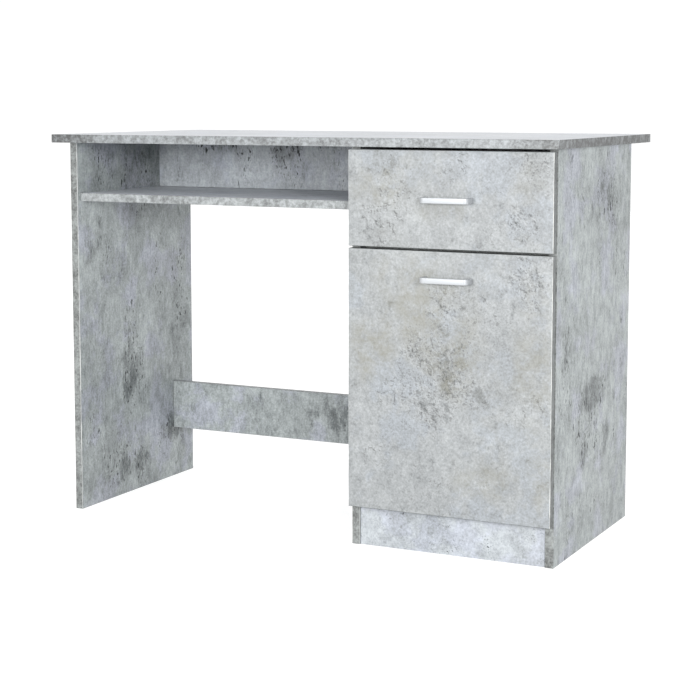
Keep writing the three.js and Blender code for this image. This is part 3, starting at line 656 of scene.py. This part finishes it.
satin_aluminium = make_metal("satin_aluminium", (162, 165, 168), 0.46, 0.06, 0.6 * MM, 0.35)
nickel = make_metal("nickel_plate", (205, 203, 198), 0.24, 0.04, 1.0 * MM)
zinc = make_metal("zinc_plate", (186, 189, 192), 0.36, 0.06, 1.2 * MM)
white_coat = make_coated("white_powder_coat", (232, 232, 229), 0.42, 0.9 * MM, 0.25)
nylon = make_coated("white_nylon", (240, 240, 236), 0.48, 1.6 * MM, 0.10)
cap_plastic = make_coated("grey_cap_plastic", (196, 199, 201), 0.50, 1.6 * MM, 0.10)
print("finishes:", len(bpy.data.materials))

# %% [markdown]
# ## Boards with softened, banded edges
# A board's frame node is a sharp solid with its bores and grooves. The finished board starts
# from a copy of it: triangles are merged into flat faces, only the outer edges are rounded, by
# less than a millimetre, and each face gets print, band or bare chips by where it lies.

# %% Board maker
EDGE_ROUND = 0.8 * MM
ON_PLANE = 1e-5
SQUARE_ON = 0.999  # a face whose normal is nearer an axis than this lies flat on the box
PRINT, BAND, CHIPS, RIM_HIGHLIGHT, REVERSE = range(5)
SIDES = {"left": (0, -1), "right": (0, 1), "front": (1, -1), "rear": (1, 1)}
SIDES.update({"bottom": (2, -1), "top": (2, 1)})


def merged_copy(node, name):
    obj = link_object(name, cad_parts[node].data.copy())
    obj.data.materials.clear()
    solid = bmesh.new()
    solid.from_mesh(obj.data)
    bmesh.ops.remove_doubles(solid, verts=solid.verts, dist=1e-6)
    flat = math.radians(0.5)
    bmesh.ops.dissolve_limit(solid, angle_limit=flat, verts=solid.verts, edges=solid.edges)
    return obj, solid


def plane_of(face, low, high):
    """Which side of the box a flat face lies on, such as (1, -1) for y low, or None."""
    axis = max(range(3), key=lambda i: abs(face.normal[i]))
    height = face.calc_center_median()[axis]
    if abs(face.normal[axis]) >= SQUARE_ON:
        for wall, sign in ((high[axis], 1), (low[axis], -1)):
            if abs(height - wall) < ON_PLANE:
                return axis, sign
    return None


def face_finish(face, low, high, thick, banded):
    order = sorted(range(3), key=lambda i: -abs(face.normal[i]))
    facing = [(axis, 1 if face.normal[axis] > 0 else -1) for axis in order]
    axis, sign = facing[0]
    wall = high[axis] if sign > 0 else low[axis]
    if abs(face.calc_center_median()[axis] - wall) > 1.5 * EDGE_ROUND:
        return CHIPS
    if abs(face.normal[axis]) < SQUARE_ON:
        if not banded.intersection(facing[:2]):
            return PRINT
        # Top and bottom rounds take the band; upright rounds take the rim, a painted highlight.
        return BAND if abs(face.normal.z) > 0.1 else RIM_HIGHLIGHT
    if axis == thick:
        return PRINT
    return BAND if facing[0] in banded else CHIPS


def finish_board(node, body, face, band_sides, band, reverse=None, corner=None):
    low, high = box_of(node)
    size = high - low
    thick = min(range(3), key=lambda i: size[i])
    obj, solid = merged_copy(node, node + "_finished")
    outer = []
    for line in solid.edges:
        planes = {plane_of(f, low, high) for f in line.link_faces}
        if len(planes) == 2 and None not in planes:
            outer.append(line)
    bmesh.ops.bevel(solid, geom=outer, offset=EDGE_ROUND, segments=2, profile=0.5, affect="EDGES")
    solid.normal_update()
    banded = {SIDES[word] for word in band_sides}
    for flat in solid.faces:
        flat.material_index = face_finish(flat, low, high, thick, banded)
        if reverse and flat.material_index == PRINT and flat.normal[thick] < 0:
            flat.material_index = REVERSE
    solid.to_mesh(obj.data)
    solid.free()
    # A board given a band as its corner has no painted highlight on its upright rounds.
    for material in (face, band, chipboard, corner or rim, reverse or face):
        obj.data.materials.append(material)
    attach(obj, body)
    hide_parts(node)


# %% [markdown]
# Which edges carry a band tells how such a desk is made: all four of the desktop, the door
# and the drawer front, the long edges of what spans the kneehole, and only the front edges
# of boards inside the pedestal.

# %% Finish the boards
UPRIGHT = ("front", "rear", "bottom")
ALL_ROUND = ("left", "right", "bottom", "top")
INNER_BOARD = ("inner_board", ("front",), upright_band)
DRAWER_BOX = ("drawer_box", ("top",), upright_band)
BOARDS = {
    "desktop": ("desktop", ("left", "right", "front", "rear"), top_band, None, top_band),
    "left_side_panel": ("left_panel", UPRIGHT, upright_band),
    "pedestal_left_panel": ("pedestal_inner", UPRIGHT, upright_band),
    "pedestal_right_panel": ("right_panel", UPRIGHT, upright_band, None, upright_band),
    "open_shelf": ("shelf", ("front", "rear"), shelf_band),
    "upper_back_panel": ("upper_back", ("bottom",), shelf_band),
    "lower_rail": ("rail", ("bottom", "top"), shelf_band),
    "plinth_board": ("plinth", (), shelf_band),
    "bottom_board": INNER_BOARD,
    "divider_board": INNER_BOARD,
    "inner_shelf": INNER_BOARD,
    "drawer_front": ("drawer_front", ALL_ROUND, shaded_front_band),
    "door": ("door", ALL_ROUND, shaded_front_band),
    "drawer_left_side": DRAWER_BOX,
    "drawer_right_side": DRAWER_BOX,
    "drawer_back": DRAWER_BOX,
}
for node, (sheet, *edges) in BOARDS.items():
    body = "door" if node == "door" else "drawer" if node.startswith("drawer") else "cabinet"
    finish_board(node, body, prints[sheet], *edges)
finish_board("drawer_bottom", "drawer", hardboard_face, (), upright_band, hardboard_back)
finish_board("pedestal_back_panel", "cabinet", hardboard_back, (), upright_band, hardboard_face)

# %% [markdown]
# ## Bow handles
# Each handle is one flat bar, bent down at both ends into two legs that the screws pull
# against the board. The outline is drawn from above, raised to the bar's height, and every
# long edge is broken with a small round, because that is where aluminium catches the light.

# %% Handle outline and solid
HANDLE_LEG = 7.0 * MM
HANDLE_BAR = 3.5 * MM
HANDLE_BEND = 9.5 * MM
HANDLE_INNER_BEND = 6.0 * MM
HANDLE_EDGE = 0.7 * MM


def arc(centre, radius, start, stop, steps):
    turns = [math.radians(start + (stop - start) * i / steps) for i in range(steps + 1)]
    return [(centre[0] + radius * math.cos(t), centre[1] + radius * math.sin(t)) for t in turns]


def raise_outline(name, points, low_z, high_z, edge_round):
    """A closed outline in plan, raised between two heights, with its rims rounded."""
    solid = bmesh.new()
    base = solid.faces.new([solid.verts.new((x, y, low_z)) for x, y in points])
    raised = bmesh.ops.extrude_face_region(solid, geom=[base])["geom"]
    lifted = [v for v in raised if isinstance(v, bmesh.types.BMVert)]
    bmesh.ops.translate(solid, verts=lifted, vec=(0.0, 0.0, high_z - low_z))
    bmesh.ops.recalc_face_normals(solid, faces=solid.faces)
    rims = [e for e in solid.edges if abs(e.verts[0].co.z - e.verts[1].co.z) < 1e-7]
    bmesh.ops.bevel(
        solid, geom=rims, offset=edge_round, segments=3, profile=0.5, affect="EDGES"
    )
    return as_object(name, solid)


def bow_points(low, high):
    left, right, front, foot = low.x, high.x, low.y, high.y
    inner_left, inner_right = left + HANDLE_LEG, right - HANDLE_LEG
    inner = front + HANDLE_BAR
    outer_r, inner_r = HANDLE_BEND, HANDLE_INNER_BEND
    points = [(right, foot), (inner_right, foot)]
    points += arc((inner_right - inner_r, inner + inner_r), inner_r, 0, -90, 8)
    points += arc((inner_left + inner_r, inner + inner_r), inner_r, -90, -180, 8)
    points += [(inner_left, foot), (left, foot)]
    points += arc((left + outer_r, front + outer_r), outer_r, 180, 270, 10)
    points += arc((right - outer_r, front + outer_r), outer_r, 270, 360, 10)
    return points


for body in ("drawer", "door"):
    node = f"{body}_handle"
    low, high = box_of(node)
    handle = raise_outline(node + "_bow", bow_points(low, high), low.z, high.z, HANDLE_EDGE)
    settle(handle, body, satin_aluminium, node)
    print(node, "is", round((high.x - low.x) / MM), "mm long")


# %% [markdown]
# ## Pressed and moulded hardware
# Hinge arms, plates, cups and links are pressed or cast, so none has a knife edge. Their
# frame nodes have the right shape, and a bevel on the sharp edges of a copy finishes them.


# %% Soften the hinge pieces
def soften(node, body, radius):
    obj, solid = merged_copy(node, node + "_pressed")
    solid.to_mesh(obj.data)
    solid.free()
    bevel = obj.modifiers.new("soft_edges", "BEVEL")
    bevel.width = radius
    bevel.segments = 2
    bevel.limit_method = "ANGLE"
    bevel.angle_limit = math.radians(50)
    apply_modifiers(obj)
    settle(obj, body, nickel, node)


for level in ("upper", "lower"):
    link = f"{level}_hinge_link"
    pieces = {"cup": ("door", 0.2), "arm": ("cabinet", 0.4), "plate": ("cabinet", 0.3)}
    for piece, (body, radius) in {**pieces, "link": (link, 0.2)}.items():
        soften(f"{level}_hinge_{piece}", body, radius * MM)
print("hinges: 2 of 4 pieces each")

# %% [markdown]
# ## Drawer runners
# A runner is bent from one strip of sheet steel. The strip's middle line is drawn in section
# with round bends, drawn out along the drawer's travel, and Solidify gives the sheet its
# thickness. That is how the press makes it, and it keeps the wall the same everywhere.

# %% Bent sheet
SHEET = 1.2 * MM
HALF_SHEET = SHEET / 2
BEND = 1.2 * MM
NOSE_LENGTH = 24.0 * MM  # the flat front of a cabinet runner, which carries the roller
SIDE_GAP = 0.3 * MM  # between a drawer's side and its runner


def rounded_path(points, radius, steps=4):
    """An open line whose inner corners are replaced by arcs."""
    path = [points[0]]
    for before, corner, after in zip(points, points[1:], points[2:]):
        corner = Vector(corner)
        into = (Vector(before) - corner).normalized()
        out = (Vector(after) - corner).normalized()
        start, stop = corner + into * radius, corner + out * radius
        for i in range(steps + 1):
            t = i / steps
            path.append(tuple(start * (1 - t) ** 2 + corner * 2 * t * (1 - t) + stop * t**2))
    path.append(points[-1])
    return path


def bent_sheet(section, front, rear):
    """A strip whose section is given as (x, z) points, running from front to rear."""
    shell = bmesh.new()
    path = rounded_path(section, BEND)
    near, far = [[shell.verts.new((x, y, z)) for x, z in path] for y in (front, rear)]
    for i in range(len(path) - 1):
        shell.faces.new((near[i], near[i + 1], far[i + 1], far[i]))
    obj = as_object("strip", shell)
    wall = obj.modifiers.new("wall", "SOLIDIFY")
    wall.thickness = SHEET
    wall.offset = 0.0
    wall.use_even_offset = True
    apply_modifiers(obj)
    return obj


def finish_runner(node, body, strips):
    """Joins the strips into one runner, with faces that point outwards."""
    whole = bmesh.new()
    for strip in strips:
        part = bmesh.new()
        part.from_mesh(strip.data)
        bmesh.ops.recalc_face_normals(part, faces=part.faces)
        part.to_mesh(strip.data)
        part.free()
        whole.from_mesh(strip.data)
        bpy.data.objects.remove(strip)
    settle(as_object(node + "_pressed", whole), body, white_coat, node)


# %% Cabinet and drawer runners
LEFT, RIGHT = Vector((-1, 0, 0)), Vector((1, 0, 0))
REAR, DOWN = Vector((0, 1, 0)), Vector((0, 0, -1))
INWARD = {"left": RIGHT, "right": LEFT}


def across(word, low, high):
    """A box's two X ends on the left side of the drawer, or swapped on its right."""
    return (low[0], high[0]) if word == "left" else (high[0], low[0])


def runner_box(node):
    low, high = box_of(node)
    return low, high, low.z + HALF_SHEET, high.z - HALF_SHEET


for word, inward in INWARD.items():
    node = f"cabinet_runner_{word}"
    low, high, bottom, top = runner_box(node)
    wall, lip = across(word, low, high)
    web = wall + inward.x * HALF_SHEET
    nose_end = low.y + NOSE_LENGTH
    channel = [(lip, bottom), (web, bottom), (web, top), (lip, top)]
    strips = [bent_sheet(channel, nose_end, high.y)]
    strips.append(bent_sheet([(web, low.z), (web, high.z)], low.y, nose_end))
    finish_runner(node, "cabinet", strips)

    node = f"drawer_runner_{word}"
    low, high, bottom, top = runner_box(node)
    cap, foot = across(word, low, high)
    outer_face = across(word, *box_of(f"drawer_{word}_side"))[0]
    web = outer_face - inward.x * (SIDE_GAP + HALF_SHEET)
    section = [(foot, bottom), (web, bottom), (web, top), (cap, top)]
    finish_runner(node, "drawer", [bent_sheet(section, low.y, high.y)])
print("runners: 4")


# %% [markdown]
# ## Rollers
# A roller is turned about its own axle: a hub, a thin web and a rounded rim. A half section
# spun round the axle gives every surface of it at once.


# %% Turned pieces
def turned(name, profile, steps=56):
    """A closed half section of (along, radius) points, spun about the X axis."""
    solid = bmesh.new()
    verts = [solid.verts.new((along, 0.0, radius)) for along, radius in profile]
    edges = [solid.edges.new(pair) for pair in zip(verts, verts[1:] + verts[:1])]
    bmesh.ops.spin(
        solid, geom=verts + edges, axis=(1, 0, 0), cent=(0, 0, 0), angle=math.tau, steps=steps
    )
    bmesh.ops.remove_doubles(solid, verts=solid.verts, dist=1e-7)
    bmesh.ops.recalc_face_normals(solid, faces=solid.faces)
    return as_object(name, solid)


def add_roller(node):
    low, high = box_of(node)
    half, rim = (high.x - low.x) / 2, (high.z - low.z) / 2
    bore, hub, web = 2.3 * MM, 4.4 * MM, rim - 2.2 * MM
    dish, soft = half - 1.1 * MM, 0.7 * MM
    profile = [(-half, bore), (-half, hub), (-dish, hub + soft), (-dish, web)]
    profile += [(-half + soft / 2, web + soft), (-half + soft, rim - soft / 4)]
    profile += [(-half + 2 * soft, rim)]
    mirrored = [(-along, radius) for along, radius in reversed(profile)]
    roller = turned(node + "_moulded", profile + mirrored)
    roller.data.transform(Matrix.Translation((low + high) / 2))
    settle(roller, node, nylon, node)


for end in ("front", "rear"):
    for word in INWARD:
        add_roller(f"{end}_roller_{word}")
print("rollers: 4")

# %% [markdown]
# ## Fastenings, made by Geometry Nodes
# Screws, cams, pins and nails repeat all over the desk. Geometry Nodes suit them: the places
# are loose points that carry a direction, one tree shapes the fastening from its sizes, and
# it is set down on every point. The result is turned into plain mesh, one for each set of
# fastenings, which goes with its body.

# %% Tree helpers
HEAD = ("Head Radius", "Crown Radius", "Head Height")
CROSS = ("Cross Length", "Cross Width", "Cross Depth")
SHANK = ("Shank Radius", "Shank Length")


def new_tree(name, titles):
    tree = bpy.data.node_groups.new(name, "GeometryNodeTree")
    sockets = {"Geometry": "NodeSocketGeometry", **dict.fromkeys(titles, NUMBER)}
    for title, kind in {**sockets, "Finish": "NodeSocketMaterial"}.items():
        tree.interface.new_socket(title, in_out="INPUT", socket_type=kind)
    tree.interface.new_socket("Geometry", in_out="OUTPUT", socket_type="NodeSocketGeometry")
    given, result = tree.nodes.new("NodeGroupInput"), tree.nodes.new("NodeGroupOutput")
    return tree, given.outputs, result.inputs


def moved_up(tree, geometry, height):
    place = add(tree, "ShaderNodeCombineXYZ", {"Z": height}).outputs[0]
    inputs = {"Geometry": geometry, "Translation": place}
    return add(tree, "GeometryNodeTransform", inputs).outputs[0]


def set_down(tree, given, result, shape):
    """Puts the shape on every point, turned to the point's own direction."""
    inputs = {"Name": "facing"}
    facing = add(tree, "GeometryNodeInputNamedAttribute", inputs, data_type="FLOAT_VECTOR")
    turn = add(tree, "FunctionNodeAlignRotationToVector", {"Vector": facing.outputs[0]}, axis="Z")
    inputs = {"Points": given["Geometry"], "Instance": shape, "Rotation": turn.outputs[0]}
    copies = add(tree, "GeometryNodeInstanceOnPoints", inputs)
    real = add(tree, "GeometryNodeRealizeInstances", {"Geometry": copies.outputs[0]})
    inputs = {"Geometry": real.outputs[0], "Material": given["Finish"]}
    painted = add(tree, "GeometryNodeSetMaterial", inputs)
    tree.links.new(painted.outputs[0], result["Geometry"])


# %% A head on a shank, with a cross recess in screws and cams
def cut_cross(tree, head, given):
    settings = {"operation": "DIFFERENCE", "solver": "EXACT"}
    recess = add(tree, "GeometryNodeMeshBoolean", {"Mesh 1": head}, **settings)
    deep = times(tree, given["Cross Depth"], 2.0)
    for long_key, thin_key in (("X", "Y"), ("Y", "X")):
        inputs = {long_key: given["Cross Length"], thin_key: given["Cross Width"], "Z": deep}
        corners = add(tree, "ShaderNodeCombineXYZ", inputs)
        bar = add(tree, "GeometryNodeMeshCube", {"Size": corners.outputs[0]})
        cutter = moved_up(tree, bar.outputs["Mesh"], given["Head Height"])
        tree.links.new(cutter, recess.inputs["Mesh 2"])
    return recess.outputs["Mesh"]


def make_fastening_tree(name, titles, shank_sides):
    tree, given, result = new_tree(name, titles)
    inputs = {"Radius Top": given["Crown Radius"], "Radius Bottom": given["Head Radius"]}
    inputs.update({"Depth": given["Head Height"], "Vertices": 28})
    head = add(tree, "GeometryNodeMeshCone", inputs).outputs["Mesh"]
    if "Cross Depth" in titles:
        head = cut_cross(tree, head, given)
    inputs = {"Radius": given["Shank Radius"], "Depth": given["Shank Length"]}
    shank = add(tree, "GeometryNodeMeshCylinder", {**inputs, "Vertices": shank_sides})
    sunk = times(tree, given["Shank Length"], -0.5)
    whole = add(tree, "GeometryNodeJoinGeometry")
    for part in (head, moved_up(tree, shank.outputs["Mesh"], sunk)):
        tree.links.new(part, whole.inputs[0])
    set_down(tree, given, result, whole.outputs[0])
    return tree


screw_tree = make_fastening_tree("Cross-recessed fastening", HEAD + CROSS + SHANK, 20)
pin_tree = make_fastening_tree("Plain pin", HEAD + SHANK, 24)
print("trees:", screw_tree.name, "and", pin_tree.name)


# %% Run a tree on a set of places
def screw_sizes(head, cross, shank):
    """Sizes in millimetres: radius, crown and height; length, width and depth; the shank's."""
    return dict(zip(HEAD + CROSS + SHANK, (*head, *cross, *shank)))


def pin_sizes(head, shank):
    return dict(zip(HEAD + SHANK, (*head, *shank)))


def fasten(name, body, places, finish, sizes, replaced=()):
    """places is a list of (point, direction). A cross among the sizes asks for a screw."""
    mesh = bpy.data.meshes.new(name)
    mesh.from_pydata([tuple(point) for point, _ in places], [], [])
    facing = mesh.attributes.new("facing", "FLOAT_VECTOR", "POINT")
    for index, (_, direction) in enumerate(places):
        facing.data[index].vector = direction
    obj = link_object(name, mesh)
    modifier = obj.modifiers.new("fastening", "NODES")
    modifier.node_group = screw_tree if "Cross Depth" in sizes else pin_tree
    for item in modifier.node_group.interface.items_tree:
        if item.name in sizes:
            modifier[item.identifier] = sizes[item.name] * MM
        elif item.name == "Finish":
            modifier[item.identifier] = finish
    apply_modifiers(obj)
    settle(obj, body, None, *replaced)
    print(name, "x", len(places), "with", len(obj.data.polygons), "faces")


def centre_of(node):
    low, high = box_of(node)
    return (low + high) / 2, low, high


# %% [markdown]
# ### Cams and handle screws
# The shelf, the upper back and the rail hang on cams: zinc discs, flush in the board, with a
# cross slot to turn them. The shelf's are turned from below and the others from behind.

# %% Cams and handle screws
CAM = screw_sizes((7.4, 7.0, 1.6), (9.0, 2.4, 1.2), (7.2, 11.0))
CAM_HEAD_HEIGHT = 1.6 * MM
HANDLE_SCREW = screw_sizes((4.0, 2.9, 2.3), (4.2, 0.8, 1.4), (2.0, 25.4))
HANDLE_HEAD_HEIGHT = 2.4 * MM

cams = {}
for node in sorted(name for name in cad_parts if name.endswith("_cam")):
    centre, low, high = centre_of(node)
    if node.startswith("open_shelf"):
        cams[node] = (Vector((centre.x, centre.y, low.z + CAM_HEAD_HEIGHT)), DOWN)
    else:
        cams[node] = (Vector((centre.x, high.y - CAM_HEAD_HEIGHT, centre.z)), REAR)
fasten("cam_locks", "cabinet", list(cams.values()), zinc, CAM, list(cams))

for body in ("drawer", "door"):
    seats = {}
    for word in INWARD:
        node = f"{body}_handle_screw_{word}"
        centre, low, high = centre_of(node)
        seats[node] = (Vector((centre.x, high.y - HANDLE_HEAD_HEIGHT, centre.z)), REAR)
    name = f"{body}_handle_screws"
    fasten(name, body, list(seats.values()), zinc, HANDLE_SCREW, list(seats))

# %% [markdown]
# ### Hinge and runner screws
# Each hinge has two countersunk screws in the door and two in the panel, and two set screws
# on its arm for height and reach. Each cabinet runner has three screws in the panel.

# %% Hinge and runner screws
FLAT_SCREW = screw_sizes((3.4, 2.7, 0.9), (3.2, 0.7, 0.7), (1.5, 3.0))
CUP_SCREW = {**FLAT_SCREW, "Head Height": 0.4, "Cross Depth": 0.3, "Shank Length": 0.9}
RUNNER_SCREW = {**FLAT_SCREW, "Head Height": 0.7, "Cross Depth": 0.5, "Shank Length": 1.2}
SET_SCREW = screw_sizes((2.8, 2.5, 1.2), (3.4, 0.8, 0.8), (2.4, 3.0))
CUP_SCREW_SPREAD = 24.0 * MM
PLATE_SCREW_SPREAD = 18.0 * MM
ARM_THICKNESS = 4.1 * MM  # with the gap between the arm and its plate
WING = 2.0 * MM
SET_SCREW_SHARES = (0.18, 0.72)
RUNNER_SHARES = (0.16, 0.52, 0.92)

cup_seats, plate_seats, arm_seats = [], [], []
for level in ("upper", "lower"):
    cup, low, high = centre_of(f"{level}_hinge_cup")
    for sign in (-1, 1):
        cup_seats.append((Vector((cup.x, high.y, cup.z + sign * CUP_SCREW_SPREAD)), REAR))
    plate, low, high = centre_of(f"{level}_hinge_plate")
    for sign in (-1, 1):
        height = plate.z + sign * PLATE_SCREW_SPREAD
        plate_seats.append((Vector((high.x - WING, plate.y, height)), LEFT))
    for share in SET_SCREW_SHARES:
        along = low.y + share * (high.y - low.y)
        arm_seats.append((Vector((low.x - ARM_THICKNESS, along, plate.z)), LEFT))
fasten("hinge_cup_screws", "door", cup_seats, nickel, CUP_SCREW)
fasten("hinge_plate_screws", "cabinet", plate_seats, nickel, FLAT_SCREW)
fasten("hinge_set_screws", "cabinet", arm_seats, nickel, SET_SCREW)

runner_seats = []
for word, inward in INWARD.items():
    runner, low, high = centre_of(f"cabinet_runner_{word}")
    web = across(word, low, high)[0] + inward.x * SHEET
    for share in RUNNER_SHARES:
        runner_seats.append((Vector((web, low.y + share * (high.y - low.y), runner.z)), inward))
fasten("runner_screws", "cabinet", runner_seats, zinc, RUNNER_SCREW)

# %% [markdown]
# ### Shelf pins, roller rivets, caps and nails
# The loose shelf lies on four pins pushed into the uprights. Short nails hold the hardboard
# back. Plastic caps cover the cams that hold the desktop on the pedestal's uprights.

# %% Shelf pins and rivets
SHELF_PIN = pin_sizes((2.5, 2.4, 7.6), (2.45, 9.0))
PIN_REACH = 7.6 * MM
RIVET = pin_sizes((2.2, 1.5, 0.7), (1.9, 7.4))

pins = {}
for end in ("front", "rear"):
    for word, inward in INWARD.items():
        node = f"shelf_pin_{end}_{word}"
        centre, low, high = centre_of(node)
        tip = across(word, low, high)[1]
        pins[node] = (Vector((tip, centre.y, centre.z)) - inward * PIN_REACH, inward)
fasten("shelf_pins", "cabinet", list(pins.values()), nickel, SHELF_PIN, list(pins))

for end, body, turn in (("front", "cabinet", 1), ("rear", "drawer", -1)):
    rivets = []
    for word, inward in INWARD.items():
        centre, low, high = centre_of(f"{end}_roller_{word}")
        outer = across(word, low, high)[turn > 0]
        rivets.append((Vector((outer, centre.y, centre.z)), inward * turn))
    fasten(f"{end}_roller_rivets", body, rivets, zinc, RIVET)

# %% Caps over the desktop's cams, and the back's nails
CAP = pin_sizes((8.5, 6.8, 1.0), (3.0, 0.5))
CAM_BELOW_TOP = 34.0 * MM
CAP_SHARES = (0.15, 0.85)
NAIL = pin_sizes((1.6, 1.3, 0.4), (0.6, 2.5))
NAIL_INSET = 7.0 * MM
NAIL_STEP = 95.0 * MM


def nail_row(start, stop):
    """Evenly spaced points from one corner up to the next, which starts its own row."""
    count = max(1, round((stop - start).length / NAIL_STEP))
    return [start.lerp(stop, i / count) for i in range(count)]


def back_nails():
    low, high = box_of("pedestal_back_panel")
    left, right = low.x + NAIL_INSET, high.x - NAIL_INSET
    bottom, top = low.z + NAIL_INSET, high.z - NAIL_INSET
    corners = [(left, bottom), (right, bottom), (right, top), (left, top)]
    ring = [Vector((x, high.y, z)) for x, z in corners]
    rows = [nail_row(a, b) for a, b in zip(ring, ring[1:] + ring[:1])]
    return [(point, REAR) for row in rows for point in row]


caps = []
for word, inward in INWARD.items():
    for share in CAP_SHARES:
        inner_face = 1.0 if word == "left" else 0.0
        point = Vector(spot(f"pedestal_{word}_panel", inner_face, share, 1.0))
        caps.append((point + DOWN * CAM_BELOW_TOP, inward))
fasten("cam_caps", "cabinet", caps, cap_plastic, CAP)
fasten("back_panel_nails", "cabinet", back_nails(), zinc, NAIL)

# %% [markdown]
# ## The bolts
# The cam bolts sit inside their bores, where only a look along an open joint finds them. Their
# frame nodes already have the right shape, so they only get their zinc finish.

# %% Finish for the bolts
bolts = [obj for node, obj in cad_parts.items() if node.endswith("_bolt")]
for bolt in bolts:
    bolt.data.materials.clear()
    bolt.data.materials.append(zinc)
print("bolts:", len(bolts))

# %% [markdown]
# ## Floor
# A wide white floor throws light back up under the top. It glows, so the desk's shadow on it
# is faint.

# %% Floor
FLOOR_HALF = 9.0
FLOOR_GLOW = 0.70
FLOOR_GREY = (0.40, 0.40, 0.40, 1.0)


def add_floor():
    mesh = bpy.data.meshes.new("floor")
    corners = [(-1, -1), (1, -1), (1, 1), (-1, 1)]
    points = [(x * FLOOR_HALF, y * FLOOR_HALF, 0.0) for x, y in corners]
    mesh.from_pydata(points, [], [(0, 1, 2, 3)])
    material = new_material("floor_paint")[0]
    shader = surface(material, FLOOR_GREY, 0.9)
    shader.inputs["Emission Color"].default_value = (1.0, 1.0, 1.0, 1.0)
    shader.inputs["Emission Strength"].default_value = FLOOR_GLOW
    mesh.materials.append(material)
    link_object("floor", mesh)


add_floor()
print("floor:", 2 * FLOOR_HALF, "m wide")
